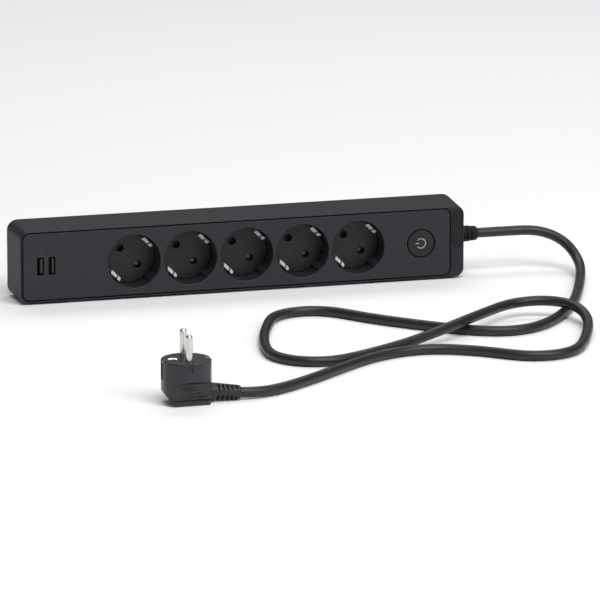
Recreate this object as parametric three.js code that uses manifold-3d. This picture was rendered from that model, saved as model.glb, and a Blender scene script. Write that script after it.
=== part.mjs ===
// Five-way socket strip with two charging ports, a push switch and an attached mains lead.
// Units are millimetres. +X runs along the strip towards the cable, +Y towards its back, +Z up.
// The strip stands on its long lower side, with the origin under its middle.
import * as THREE from 'three';
import { mergeVertices } from 'three/addons/utils/BufferGeometryUtils.js';
import Module from 'manifold-3d';

const wasm = await Module();
wasm.setup();

// ---- Housing ----
const LENGTH = 340; // front outline
const HEIGHT = 54;
const DEPTH = 38;
const DRAFT = 1.5; // how far each side has spread at the back
const CORNER = 6.5; // front corner radius
const MID_Z = HEIGHT / 2 + DRAFT;
const FRONT_Y = -DEPTH / 2;
const BACK_Y = DEPTH / 2;
const WALL = 2.3;
const RIM = 1.15; // rim of the housing around the panel
const GROOVE = 0.9; // shadow gap around the panel
const PANEL_RIGHT = 158.9;
const PANEL_T = 2.4;
const LEDGE_T = 2.5;
const LEDGE_W = 1.4;
const GAP = 0.3; // clearance between neighbouring pieces
const COVER_T = 1.2;

// ---- Sockets ----
const SOCKETS = 5;
const SOCKET_PITCH = 43;
const SOCKET_1_X = -84;
const WELL_R = 20.1;
const WELL_WALL = 1.2;
const WELL_BACK_Y = 4.2;
const FLOOR_Y = -1.5;
const FLOOR_T = 5;
const PIN_SPACING = 19;
const PIN_HOLE_R = 2.8;
const PIN_TILT = 3 * Math.PI / 4; // direction from a socket's centre to its live hole
const RIB_W = 5.6;
const RIB_H = 1.9;
const SHUTTER_T = 1.2;
const SHUTTER_LOBE_R = 3.5;
const EARTH_R = 17.3; // distance of an earth finger from the socket's axis
const EARTH_W = 9.4;
const EARTH_FINGERS = [[-0.1, 4.7], [-4.7, -1.1]];
const EARTH_T = 0.7;
const EARTH_TIP_Y = -12.5;
const BRIDGE_Y = 5.35;

// ---- Busbars ----
const BAR_T = 0.7;
const CLIP_GAP = 2.7; // from a pin's axis to the leaf beside it
const BAR_Y = [6.3, 15.6];
const BAR_LEFT = -119;
const BAR_RIGHT = 104;

// ---- Push switch ----
const BUTTON_X = 136.6;
const BUTTON_Z = 28.6;
const BUTTON_R = 10.05;
const BUTTON_HOLE_R = 10.9;
const FLANGE_R = 12;
const GUIDE_R = 4.8; // light guide behind the button's cap
const GUIDE_Y = [-17.6, -16.9];
const SWITCH_Y = [-9, 9.5];
const SWITCH_HALF = 12;
const SWITCH_WALL = 1.5;
const ARM_PIVOT_X = 127.5;
const ARM_Y = -1.9;

// ---- Charging ports ----
const PORT_X = [-154.95, -146.25];
const PORT_Z = 28.85;
const PORT_W = 5.1; // inside the metal shell, and the window in the panel's front skin
const PORT_H = 13.4;
const PORT_WALL = 0.4;
const WINDOW_SKIN = 0.5;
const BOARD = { x0: -161, x1: -122, y0: -1.1, y1: 0.5, z0: 13, z1: 44 };

// ---- Cable outlet and lead ----
const OUTLET_Y = 2;
const OUTLET_Z = 29.2;
const GLAND_END_X = 186;
const CORD_R = 3.7;
const CORD_SIDES = 10;
const CORD_STEPS = 80;

// ---- Plug ----
const PLUG = { x: -125.37, y: -330.82, turn: -2 * Math.PI / 180 };
const PLUG_R = 17.6;
const PLUG_H = 31.5;
const PLUG_PIN_R = 2.4;
const PLUG_PIN_L = 19;
const PIN_SEAT = 7; // depth of the pins' holes below the face
const CLIP_HALF = 2.8;
const FLANK_Z = [4.4, 15.5];
const FLANK_LEAN = 2.2;
const LIP_Z = [1.2, 3.2];
const BOOT_START = 15.2;
const BOOT_END = 38;
const BOOT_ROOT_Z = 7.1;
const BOOT_END_Z = 5.25;

// The lead's route: out of the gland, down beside the strip, along the ground in a loop to the
// left and one to the right that rides over the first run, and up into the plug's strain relief.
const ROUTE = [
  [186.3, 2, 29.2], [216, 2, 29.2], [235, 2, 29], [253, -10, 22.6], [260, -30, 6.6],
  [243, -74, 3.8], [223, -128, 3.8], [192, -180, 3.8], [161, -206, 3.8], [129, -202, 3.8],
  [92, -170, 3.8], [58, -135, 3.8], [43, -110, 3.8], [19, -102, 3.8], [-5, -113, 3.8],
  [-16, -142, 3.8], [-27, -171, 3.8], [-36, -210, 3.8], [-36, -234, 3.8], [-23, -253, 3.8],
  [2, -260, 3.8], [35, -241, 3.9], [71, -225, 6.2], [115, -202, 13.3], [143, -170, 10.9],
  [165, -149, 10.8], [192, -150, 12.2], [211, -169, 11.6], [212, -197, 5.6], [194, -240, 3.9],
  [178, -274, 3.8], [154, -284, 3.8], [133, -278, 3.8], [117, -260, 3.8], [83, -239, 3.8],
  [51, -242, 3.8], [20, -260, 3.8], [-16, -294, 4], [-64.2, -332.96, 4], [-87.1, -332.16, 5.22],
];

const COLOURS = {
  shell: { color: 0x343339, roughness: 0.62, metalness: 0 },
  insert: { color: 0x2c2c2e, roughness: 0.6, metalness: 0 },
  button: { color: 0x323235, roughness: 0.55, metalness: 0 },
  badge: { color: 0x2a2b2a, roughness: 0.5, metalness: 0 },
  symbol: { color: 0xa9a9ab, roughness: 0.5, metalness: 0 },
  rubber: { color: 0x212123, roughness: 0.75, metalness: 0 },
  lead: { color: 0x38383d, roughness: 0.5, metalness: 0 },
  nickel: { color: 0xbcbcbc, roughness: 0.28, metalness: 1 },
  brass: { color: 0xb8975a, roughness: 0.35, metalness: 1 },
  steel: { color: 0x9c9ea0, roughness: 0.3, metalness: 1 },
  board: { color: 0x1f5b3a, roughness: 0.5, metalness: 0 },
  black: { color: 0x1c1c1e, roughness: 0.5, metalness: 0 },
  brown: { color: 0x5c3a24, roughness: 0.5, metalness: 0 },
  blue: { color: 0x2f5fa8, roughness: 0.5, metalness: 0 },
  yellow: { color: 0x9fb02c, roughness: 0.5, metalness: 0 },
};

const part = new THREE.Group();

// ---- Solids ----
function solid(geometry) {
  const bare = geometry.clone();
  bare.deleteAttribute('normal');
  bare.deleteAttribute('uv');
  const merged = mergeVertices(bare, 1e-4);
  const mesh = new wasm.Mesh({
    numProp: 3,
    vertProperties: new Float32Array(merged.attributes.position.array),
    triVerts: new Uint32Array(merged.index.array),
  });
  return new wasm.Manifold(mesh);
}

function geometryOf(shape) {
  const mesh = shape.getMesh();
  const geometry = new THREE.BufferGeometry();
  geometry.setAttribute('position', new THREE.BufferAttribute(mesh.vertProperties, 3));
  geometry.setIndex(new THREE.BufferAttribute(mesh.triVerts, 1));
  geometry.computeVertexNormals();
  return geometry;
}

function join(first, ...others) {
  return others.reduce((sum, other) => sum.add(other), first);
}

function cut(first, ...tools) {
  return tools.reduce((left, tool) => left.subtract(tool), first);
}

function addMesh(name, shape, look, parent = part) {
  const geometry = shape instanceof THREE.BufferGeometry ? shape : geometryOf(shape);
  const mesh = new THREE.Mesh(geometry, new THREE.MeshStandardMaterial(COLOURS[look]));
  mesh.name = name;
  parent.add(mesh);
  return mesh;
}

const around = (middle, width) => [middle - width / 2, middle + width / 2];

function box([x0, x1], [y0, y1], [z0, z1]) {
  const geometry = new THREE.BoxGeometry(x1 - x0, y1 - y0, z1 - z0);
  geometry.translate((x0 + x1) / 2, (y0 + y1) / 2, (z0 + z1) / 2);
  return solid(geometry);
}

// A cylinder along Y, with its centre at (x, z).
function rodY(x, z, radius, [y0, y1], sides = 24) {
  const geometry = new THREE.CylinderGeometry(radius, radius, y1 - y0, sides);
  geometry.translate(x, (y0 + y1) / 2, z);
  return solid(geometry);
}

// A body turned about an axis along Y, from [radius, y] pairs; it starts and ends on the axis.
function turnedY(x, z, profile, sides = 24) {
  const points = profile.map(([radius, y]) => new THREE.Vector2(radius, y));
  const geometry = new THREE.LatheGeometry(points, sides);
  geometry.translate(x, 0, z);
  return outward(geometry);
}

// Turns the faces of a closed geometry outwards.
function outward(geometry) {
  const bare = geometry.clone();
  bare.deleteAttribute('normal');
  bare.deleteAttribute('uv');
  const merged = mergeVertices(bare, 1e-4);
  const index = Array.from(merged.index.array);
  const faces = [];
  for (let i = 0; i < index.length; i += 3) {
    const [a, b, c] = index.slice(i, i + 3);
    if (a !== b && b !== c && c !== a) faces.push([a, b, c]);
  }
  const position = merged.attributes.position;
  const corner = (i) => new THREE.Vector3().fromBufferAttribute(position, i);
  const volume = faces.reduce((sum, [a, b, c]) => sum + corner(a).dot(corner(b).cross(corner(c))), 0);
  const turned = volume < 0 ? faces.map(([a, b, c]) => [a, c, b]) : faces;
  merged.setIndex(turned.flat());
  return solid(merged);
}

// A body with the same number of points in each of its rings, capped at both ends.
function loft(rings) {
  const count = rings[0].length;
  const positions = rings.flat().flatMap((point) => point);
  const index = [];
  for (let r = 0; r + 1 < rings.length; r += 1) {
    for (let i = 0; i < count; i += 1) {
      const next = (i + 1) % count;
      const [a, b] = [r * count + i, r * count + next];
      index.push(a, b, b + count, a, b + count, a + count);
    }
  }
  const start = new THREE.Vector3(...rings[0][0]);
  const across = new THREE.Vector3(...rings[0][1]).sub(start).normalize();
  const normal = new THREE.Vector3();
  for (let i = 1; i + 1 < count; i += 1) {
    const one = new THREE.Vector3(...rings[0][i]).sub(start);
    const two = new THREE.Vector3(...rings[0][i + 1]).sub(start);
    normal.add(one.cross(two));
  }
  const up = normal.normalize().clone().cross(across);
  const flat = rings[0].map((point) => {
    const offset = new THREE.Vector3(...point).sub(start);
    return new THREE.Vector2(offset.dot(across), offset.dot(up));
  });
  const last = (rings.length - 1) * count;
  for (const [a, b, c] of THREE.ShapeUtils.triangulateShape(flat, [])) {
    index.push(a, c, b);
    index.push(last + a, last + b, last + c);
  }
  const geometry = new THREE.BufferGeometry();
  geometry.setAttribute('position', new THREE.Float32BufferAttribute(positions, 3));
  geometry.setIndex(index);
  return outward(geometry);
}

// Points of a rectangle with round corners, centred on (cx, cz), in an XZ plane.
function roundRect(width, height, radius, cx = 0, cz = 0, steps = 6) {
  const points = [];
  const corners = [[1, 1, 0], [-1, 1, 1], [-1, -1, 2], [1, -1, 3]];
  for (const [sx, sz, quarter] of corners) {
    for (let i = 0; i <= steps; i += 1) {
      const angle = (quarter + i / steps) * Math.PI / 2;
      const x = cx + sx * (width / 2 - radius) + radius * Math.cos(angle);
      const z = cz + sz * (height / 2 - radius) + radius * Math.sin(angle);
      points.push([x, z]);
    }
  }
  return points;
}

// A straight body along Y with the outline given by [x, z] pairs.
function prismY(outline, [y0, y1]) {
  return loft([y0, y1].map((y) => outline.map(([x, z]) => [x, y, z])));
}

// The housing's outline at a given depth, set in from its outer face.
function housingRing(y, inset) {
  const share = (y - FRONT_Y) / DEPTH;
  const spread = 2 * (DRAFT * share - inset);
  const radius = Math.max(CORNER + DRAFT * share - inset, 0.8);
  const outline = roundRect(LENGTH + spread, HEIGHT + spread, radius, 0, MID_Z);
  return outline.map(([x, z]) => [x, y, z]);
}

function housingBlock([y0, y1], inset) {
  return loft([housingRing(y0, inset), housingRing(y1, inset)]);
}

// The panel's outline: the housing's front outline set in, and cut short at the cable end.
function panelOutline(inset, right) {
  const left = -LENGTH / 2 + inset;
  const radius = CORNER - inset;
  return roundRect(right - left, HEIGHT - 2 * inset, Math.max(radius, 1), (left + right) / 2, MID_Z);
}

const socketX = (number) => SOCKET_1_X + (number - 1) * SOCKET_PITCH;
const pinOffset = PIN_SPACING / 2 * Math.SQRT1_2;
const numbers = Array.from({ length: SOCKETS }, (_, i) => i + 1);

const SCREWS = [-152, 23.5, 154].flatMap((x) => [[x, 8.6], [x, 2 * MID_Z - 8.6]]);
const CUP_R = 4;
const KEYHOLES = [-112, 116];

// ---- Casing ----
function outerHousing() {
  const openingEdge = PANEL_RIGHT + GROOVE;
  const recessBack = FRONT_Y + PANEL_T + GAP;
  const ledgeBack = recessBack + LEDGE_T;
  const coverFront = BACK_Y - COVER_T - GAP;
  const ledgeInset = RIM + GROOVE + LEDGE_W;
  let body = housingBlock([FRONT_Y, BACK_Y], 0);
  body = cut(
    body,
    prismY(panelOutline(RIM, openingEdge), [FRONT_Y - 1, recessBack]),
    prismY(panelOutline(ledgeInset, PANEL_RIGHT - LEDGE_W), [recessBack - 1, ledgeBack + 1]),
    loft([housingRing(ledgeBack, WALL), housingRing(coverFront, WALL)]),
    loft([housingRing(coverFront - 0.5, WALL), housingRing(BACK_Y + 1, WALL)]),
    loft([housingRing(coverFront, RIM), housingRing(BACK_Y + 1, RIM)]),
  );
  const bosses = SCREWS.map(([x, z]) => {
    const wallZ = z < MID_Z ? DRAFT : HEIGHT + DRAFT;
    const reach = z < MID_Z ? [wallZ, z + 3] : [z - 3, wallZ];
    return box([x - 3, x + 3], [-6, 15], reach);
  });
  body = join(body, ...bosses);
  const pilots = SCREWS.map(([x, z]) => rodY(x, z, 1.6, [6, 16], 10));
  const outlet = outletRod(5.4, [160, 180], 20);
  const pocket = prismY(badgeOutline(GAP), [FRONT_Y - 1, FRONT_Y + 0.9]);
  addMesh('outer_housing', cut(body, ...pilots, outlet, pocket), 'shell');
}

function frontPanel() {
  const plateBack = FRONT_Y + PANEL_T;
  let plate = prismY(panelOutline(RIM + GROOVE, PANEL_RIGHT), [FRONT_Y, plateBack]);
  const through = [FRONT_Y - 1, plateBack + 1];
  for (const number of numbers) {
    plate = plate.subtract(rodY(socketX(number), MID_Z, WELL_R, through, 40));
  }
  for (const x of PORT_X) {
    const seat = 2 * (PORT_WALL + GAP);
    const outline = roundRect(PORT_W + seat, PORT_H + seat, 0.7, x, PORT_Z, 2);
    plate = plate.subtract(prismY(roundRect(PORT_W, PORT_H, 0.5, x, PORT_Z, 2), through));
    plate = plate.subtract(prismY(outline, [FRONT_Y + WINDOW_SKIN, plateBack + 1]));
  }
  plate = plate.subtract(rodY(BUTTON_X, BUTTON_Z, BUTTON_HOLE_R, through, 32));
  addMesh('front_panel', plate, 'shell');
}

function rearCover() {
  const front = BACK_Y - COVER_T;
  let plate = loft([housingRing(front, RIM + GAP), housingRing(BACK_Y, RIM + GAP)]);
  for (const [x, z] of SCREWS) {
    plate = plate.add(rodY(x, z, CUP_R, [front - 2.2, front + 0.1], 20));
    plate = plate.subtract(rodY(x, z, 3.1, [front - 1, BACK_Y + 1], 20));
    plate = plate.subtract(rodY(x, z, 1.7, [front - 4, BACK_Y + 1], 12));
  }
  for (const x of KEYHOLES) {
    plate = plate.subtract(rodY(x, MID_Z, 4.2, [front - 1, BACK_Y + 1], 20));
    plate = plate.subtract(box([x - 1.9, x + 1.9], [front - 1, BACK_Y + 1], [MID_Z, MID_Z + 10]));
  }
  addMesh('rear_cover', plate, 'shell');
}

function caseScrews() {
  SCREWS.forEach(([x, z], i) => {
    const head = BACK_Y - 0.5;
    const seat = BACK_Y - COVER_T - 0.7;
    const profile = [[0, 8], [1.3, 8.6], [1.3, seat], [2.7, seat], [2.7, head - 0.5], [2.2, head], [0, head]];
    let screw = turnedY(x, z, profile, 12);
    screw = screw.subtract(box([x - 1.6, x + 1.6], [head - 0.7, head + 1], [z - 0.35, z + 0.35]));
    screw = screw.subtract(box([x - 0.35, x + 0.35], [head - 0.7, head + 1], [z - 1.6, z + 1.6]));
    addMesh(`case_screw_${i + 1}`, screw, 'steel');
  });
}

function badgeOutline(grow) {
  return roundRect(7.4 + 2 * grow, 27.6 + 2 * grow, 3.7 + grow, 164.8, 38.1, 8);
}

function badge() {
  addMesh('badge', prismY(badgeOutline(0), [FRONT_Y + 0.1, FRONT_Y + 0.6]), 'badge');
}

// ---- Sockets ----
// A block lying along a line through a socket's axis, at an angle in the XZ plane.
function radialBlock(x, angle, [r0, r1], [across0, across1], [y0, y1]) {
  const geometry = new THREE.BoxGeometry(r1 - r0, y1 - y0, across1 - across0);
  geometry.translate((r0 + r1) / 2, (y0 + y1) / 2, (across0 + across1) / 2);
  geometry.rotateY(-angle);
  geometry.translate(x, 0, MID_Z);
  return solid(geometry);
}

function socketWell(number) {
  const x = socketX(number);
  const front = FRONT_Y + PANEL_T + GAP;
  const bore = rodY(x, MID_Z, WELL_R, [front - 1, WELL_BACK_Y + 1], 40);
  const outer = rodY(x, MID_Z, WELL_R + WELL_WALL, [front, WELL_BACK_Y], 40);
  const reach = [WELL_R - RIB_H, WELL_R + WELL_WALL / 2];
  const depth = [front + 0.8, FLOOR_Y - GAP];
  const ribs = [PIN_TILT, PIN_TILT + Math.PI].map((angle) => {
    return radialBlock(x, angle, reach, around(0, RIB_W), depth);
  });
  addMesh(`socket_well_${number}`, join(cut(outer, bore), ...ribs), 'shell');
}

function socketInsert(number) {
  const x = socketX(number);
  const back = FLOOR_Y + FLOOR_T;
  let disc = rodY(x, MID_Z, WELL_R - 0.35, [FLOOR_Y, back], 40);
  disc = disc.add(rodY(x, MID_Z, 2.2, [back - 1, back + SHUTTER_T + 0.35], 16));
  for (const side of [1, -1]) {
    const hole = [x - side * pinOffset, MID_Z + side * pinOffset];
    disc = disc.subtract(rodY(...hole, PIN_HOLE_R, [FLOOR_Y - 1, back + 1], 20));
    const angle = PIN_TILT + side * Math.PI / 2;
    const slot = [EARTH_R - 0.4, EARTH_R + EARTH_T + 0.5];
    disc = disc.subtract(radialBlock(x, angle, slot, around(0, EARTH_W + 0.8), [FLOOR_Y - 1, back + 1]));
  }
  addMesh(`socket_insert_${number}`, disc, 'insert');
}

function shutter(number) {
  const x = socketX(number);
  const front = FLOOR_Y + FLOOR_T + GAP;
  const span = [front, front + SHUTTER_T];
  const arm = PIN_SPACING / 2;
  const bar = radialBlock(x, PIN_TILT, [-arm, arm], around(0, 5.4), span);
  const hub = rodY(x, MID_Z, 4.2, span, 20);
  const lobes = [1, -1].map((side) => {
    return rodY(x - side * pinOffset, MID_Z + side * pinOffset, SHUTTER_LOBE_R, span, 20);
  });
  const bore = rodY(x, MID_Z, 2.5, [front - 1, front + SHUTTER_T + 1], 16);
  addMesh(`shutter_${number}`, cut(join(bar, hub, ...lobes), bore), 'insert');
}

// A strap bent round behind the floor, with a wide and a narrow finger at each end.
function earthContact(number) {
  const x = socketX(number);
  const angle = PIN_TILT - Math.PI / 2;
  const reach = EARTH_R + EARTH_T;
  const strap = radialBlock(x, angle, [-reach, reach], around(0, EARTH_W), [BRIDGE_Y, BRIDGE_Y + 0.6]);
  const fingers = EARTH_FINGERS.flatMap((across) => [1, -1].flatMap((side) => {
    const span = (r0, r1) => (side > 0 ? [r0, r1] : [-r1, -r0]);
    return [
      radialBlock(x, angle, span(EARTH_R, reach), across, [EARTH_TIP_Y, BRIDGE_Y + 0.3]),
      radialBlock(x, angle, span(EARTH_R - 0.7, reach), across, [EARTH_TIP_Y + 1, EARTH_TIP_Y + 4]),
    ];
  }));
  addMesh(`earth_contact_${number}`, join(strap, ...fingers), 'nickel');
}

// ---- Current path ----
// A bar along the sockets with a three-sided clip round each pin.
function busbar(name, side) {
  const z = MID_Z + side * pinOffset;
  const [upper, lower] = [[z + CLIP_GAP, z + CLIP_GAP + BAR_T], [z - CLIP_GAP - BAR_T, z - CLIP_GAP]];
  let bar = box([BAR_LEFT, BAR_RIGHT], BAR_Y, upper);
  for (const number of numbers) {
    const x = socketX(number) - side * pinOffset;
    bar = bar.add(box([x - 2.6, x + 3.4], BAR_Y, lower));
    bar = bar.add(box([x + 2.7, x + 3.4], BAR_Y, [lower[0], upper[1]]));
  }
  addMesh(name, bar, 'brass');
}

function earthRail() {
  const z = MID_Z - (EARTH_R + 1) * Math.SQRT1_2;
  addMesh('earth_rail', box([-104, BAR_RIGHT], [BRIDGE_Y + 0.9, BRIDGE_Y + 1.6], [z - 2, z + 2]), 'brass');
}

// ---- Push switch ----
function powerButton() {
  const flange = FRONT_Y + PANEL_T + GAP;
  const profile = [
    [0, FRONT_Y], [BUTTON_R - 0.5, FRONT_Y], [BUTTON_R, FRONT_Y + 0.5], [BUTTON_R, flange],
    [FLANGE_R, flange], [FLANGE_R, flange + 1.2], [2.6, flange + 1.2], [2.6, -4.2], [1, -4.2],
    [1, -2.7], [0, -2.7],
  ];
  const button = cut(
    turnedY(BUTTON_X, BUTTON_Z, profile, 32),
    ...signShapes(0.25, [FRONT_Y - 1, GUIDE_Y[0]]),
    rodY(BUTTON_X, BUTTON_Z, GUIDE_R + GAP, [GUIDE_Y[0] - GAP, GUIDE_Y[1] + GAP], 24),
  );
  addMesh('power_button', button, 'button');
}

// The lit stand-by sign: a disc behind the cap's skin, with the sign standing up through it.
function lightGuide() {
  const disc = rodY(BUTTON_X, BUTTON_Z, GUIDE_R, GUIDE_Y, 24);
  addMesh('light_guide', join(disc, ...signShapes(0, [FRONT_Y + 0.05, GUIDE_Y[0] + 0.1])), 'symbol');
}

// A broken ring, and a short bar in its gap, which faces the charging ports.
function signShapes(grow, span) {
  const [outer, inner, halfGap, steps] = [3.85 + grow, 3.2 - grow, 0.75 - grow / 4, 18];
  const arc = (radius, i) => {
    const angle = Math.PI + halfGap + (2 * Math.PI - 2 * halfGap) * i / steps;
    return [BUTTON_X + radius * Math.cos(angle), BUTTON_Z + radius * Math.sin(angle)];
  };
  const count = Array.from({ length: steps + 1 }, (_, i) => i);
  const outline = [...count.map((i) => arc(outer, i)), ...count.reverse().map((i) => arc(inner, i))];
  const bar = [BUTTON_X - 4.2 - grow, BUTTON_X - 1.4 + grow];
  return [prismY(outline, span), box(bar, span, around(BUTTON_Z, 0.65 + 2 * grow))];
}

function buttonSpring() {
  const [radius, wire, turns] = [5.4, 0.35, 3.5];
  const [y0, y1] = [-14.4, SWITCH_Y[0] - GAP - wire];
  class Helix extends THREE.Curve {
    getPoint(t, target = new THREE.Vector3()) {
      const angle = 2 * Math.PI * turns * t;
      const [x, z] = [BUTTON_X + radius * Math.cos(angle), BUTTON_Z + radius * Math.sin(angle)];
      return target.set(x, y0 + (y1 - y0) * t, z);
    }
  }
  addMesh('button_spring', tube(new Helix(), wire, 6, 42), 'steel');
}

function switchBody() {
  const [x0, x1] = [BUTTON_X - SWITCH_HALF, BUTTON_X + SWITCH_HALF];
  const [z0, z1] = [BUTTON_Z - SWITCH_HALF, BUTTON_Z + SWITCH_HALF];
  const wall = SWITCH_WALL;
  const body = cut(
    box([x0, x1], SWITCH_Y, [z0, z1]),
    box([x0 + wall, x1 - wall], [SWITCH_Y[0] + wall, SWITCH_Y[1] + 1], [z0 + wall, z1 - wall]),
    rodY(BUTTON_X, BUTTON_Z, 3.1, [SWITCH_Y[0] - 1, SWITCH_Y[0] + wall + 1], 20),
  );
  addMesh('switch_body', body, 'black');
}

// The moving contact: a lever that the button's stem swings about its left end.
function switchArm() {
  const pivot = new THREE.CylinderGeometry(1.1, 1.1, 2 * (SWITCH_HALF - SWITCH_WALL - GAP), 12);
  pivot.rotateX(Math.PI / 2);
  pivot.translate(ARM_PIVOT_X, ARM_Y, BUTTON_Z);
  const lever = box([ARM_PIVOT_X, 145.5], [ARM_Y - 0.5, ARM_Y + 0.5], [BUTTON_Z - 2, BUTTON_Z + 2]);
  const rivet = rodY(143.5, BUTTON_Z, 1.4, [ARM_Y, ARM_Y + 1.3], 12);
  addMesh('switch_arm', join(lever, solid(pivot), rivet), 'brass');
}

// ---- Charging ports ----
function chargingPort(name, x) {
  const span = [FRONT_Y + WINDOW_SKIN + GAP, BOARD.y0 - GAP];
  const outline = roundRect(PORT_W + 2 * PORT_WALL, PORT_H + 2 * PORT_WALL, 0.5, x, PORT_Z, 2);
  const bore = box(around(x, PORT_W), [span[0] - 1, span[1] + 1], around(PORT_Z, PORT_H));
  addMesh(`usb_shell_${name}`, cut(prismY(outline, span), bore), 'nickel');
  const tongue = box([x + 0.1, x + 1.8], [span[0] + 0.5, span[1]], around(PORT_Z, PORT_H - 2.4));
  addMesh(`usb_tongue_${name}`, tongue, 'black');
}

function chargingBoard() {
  addMesh('usb_board', box([BOARD.x0, BOARD.x1], [BOARD.y0, BOARD.y1], [BOARD.z0, BOARD.z1]), 'board');
  const back = BOARD.y1 + GAP;
  const winding = box([-153, -137], [back + 2, back + 10], [21, 37]);
  const core = box([-155, -135], [back, back + 12], [25, 33]);
  addMesh('usb_transformer', join(winding, core), 'yellow');
  const crimp = [[4, back + 0.8], [3.7, back + 1.4], [4, back + 2]];
  const can = [[0, back], [3.8, back], ...crimp, [4, back + 12], [0, back + 12]];
  addMesh('usb_capacitor', turnedY(-128.5, 19.5, can, 18), 'black');
}

// ---- Cable outlet ----
// A body turned about the outlet's axis, from [radius, x] pairs.
function turnedOutlet(profile, sides) {
  const geometry = new THREE.LatheGeometry(profile.map(([r, x]) => new THREE.Vector2(r, x)), sides);
  geometry.rotateZ(-Math.PI / 2);
  geometry.translate(0, OUTLET_Y, OUTLET_Z);
  return outward(geometry);
}

function outletRod(radius, [x0, x1], sides) {
  return turnedOutlet([[0, x0], [radius, x0], [radius, x1], [0, x1]], sides);
}

function cableGland() {
  const inside = [[0, 164.4], [7, 164.4], [7, 168], [5, 168], [5, 171.4]];
  const beads = [[6.3, 171.4], [6.2, 174.7], [6, 178]].flatMap(([radius, x]) => [
    [radius, x], [radius, x + 2.1], [radius - 1, x + 2.5], [radius - 1, x + 2.9],
  ]);
  const nose = [[5.6, 181.3], [5.4, 184.8], [4.9, GLAND_END_X], [0, GLAND_END_X]];
  addMesh('cable_gland', turnedOutlet([...inside, ...beads, ...nose], 20), 'rubber');
}

// A round tube along a curve.
function tube(curve, radius, sides, steps) {
  const section = new THREE.Shape();
  for (let i = 0; i < sides; i += 1) {
    const angle = 2 * Math.PI * i / sides;
    const [x, y] = [radius * Math.cos(angle), radius * Math.sin(angle)];
    if (i === 0) section.moveTo(x, y);
    else section.lineTo(x, y);
  }
  section.closePath();
  const options = { steps, bevelEnabled: false, extrudePath: curve };
  return outward(new THREE.ExtrudeGeometry(section, options));
}

function wire(name, look, points) {
  const curve = new THREE.CatmullRomCurve3(points.map((point) => new THREE.Vector3(...point)));
  addMesh(name, tube(curve, 1.1, 8, 14), look);
}

function wires() {
  wire('live_wire', 'brown', [
    [164.1, 2, 32], [161.5, 2.1, 32], [157, 3, 31.8], [151.5, 4, 31.2], [148.9, 4.1, 31.2],
  ]);
  wire('switched_live_wire', 'brown', [
    [124.2, 3, 34], [121.5, 3.1, 34.1], [116, 6, 36], [110, 9.6, 38], [106.8, 10.9, 38.3], [104.4, 11, 38.3],
  ]);
  wire('neutral_wire', 'blue', [
    [164.1, 4.4, 27.4], [161.5, 4.6, 27.3], [156, 8.4, 26], [150, 11.6, 25], [136, 12.4, 24.6],
    [118, 11.8, 24.6], [107, 11, 24.8], [104.4, 11, 24.8],
  ]);
  wire('earth_wire', 'yellow', [
    [164.1, -0.2, 26.8], [161.5, -0.3, 26.6], [157, -2, 20.5], [150, -3, 14.4], [138, 0, 13.2],
    [122, 4, 13.2], [112, 6.4, 15.2], [107, 6.6, 15.5], [104.4, 6.6, 15.5],
  ]);
}

// A uniform cubic B-spline through its first and last points.
class RouteCurve extends THREE.Curve {
  constructor(points) {
    super();
    const route = points.map((point) => new THREE.Vector3(...point));
    const beyond = (end, inner) => end.clone().multiplyScalar(2).sub(inner);
    this.points = [beyond(route[0], route[1]), ...route, beyond(route.at(-1), route.at(-2))];
  }

  getPoint(t, target = new THREE.Vector3()) {
    const spans = this.points.length - 3;
    const first = Math.min(Math.floor(t * spans), spans - 1);
    const u = t * spans - first;
    const weights = [
      (1 - u) ** 3, 3 * u ** 3 - 6 * u ** 2 + 4, -3 * u ** 3 + 3 * u ** 2 + 3 * u + 1, u ** 3,
    ];
    target.set(0, 0, 0);
    weights.forEach((weight, i) => target.addScaledVector(this.points[first + i], weight / 6));
    return target;
  }
}

function mainsCord() {
  const curve = new RouteCurve(ROUTE);
  curve.arcLengthDivisions = 1200;
  addMesh('mains_cord', tube(curve, CORD_R, CORD_SIDES, CORD_STEPS), 'lead');
}

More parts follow.
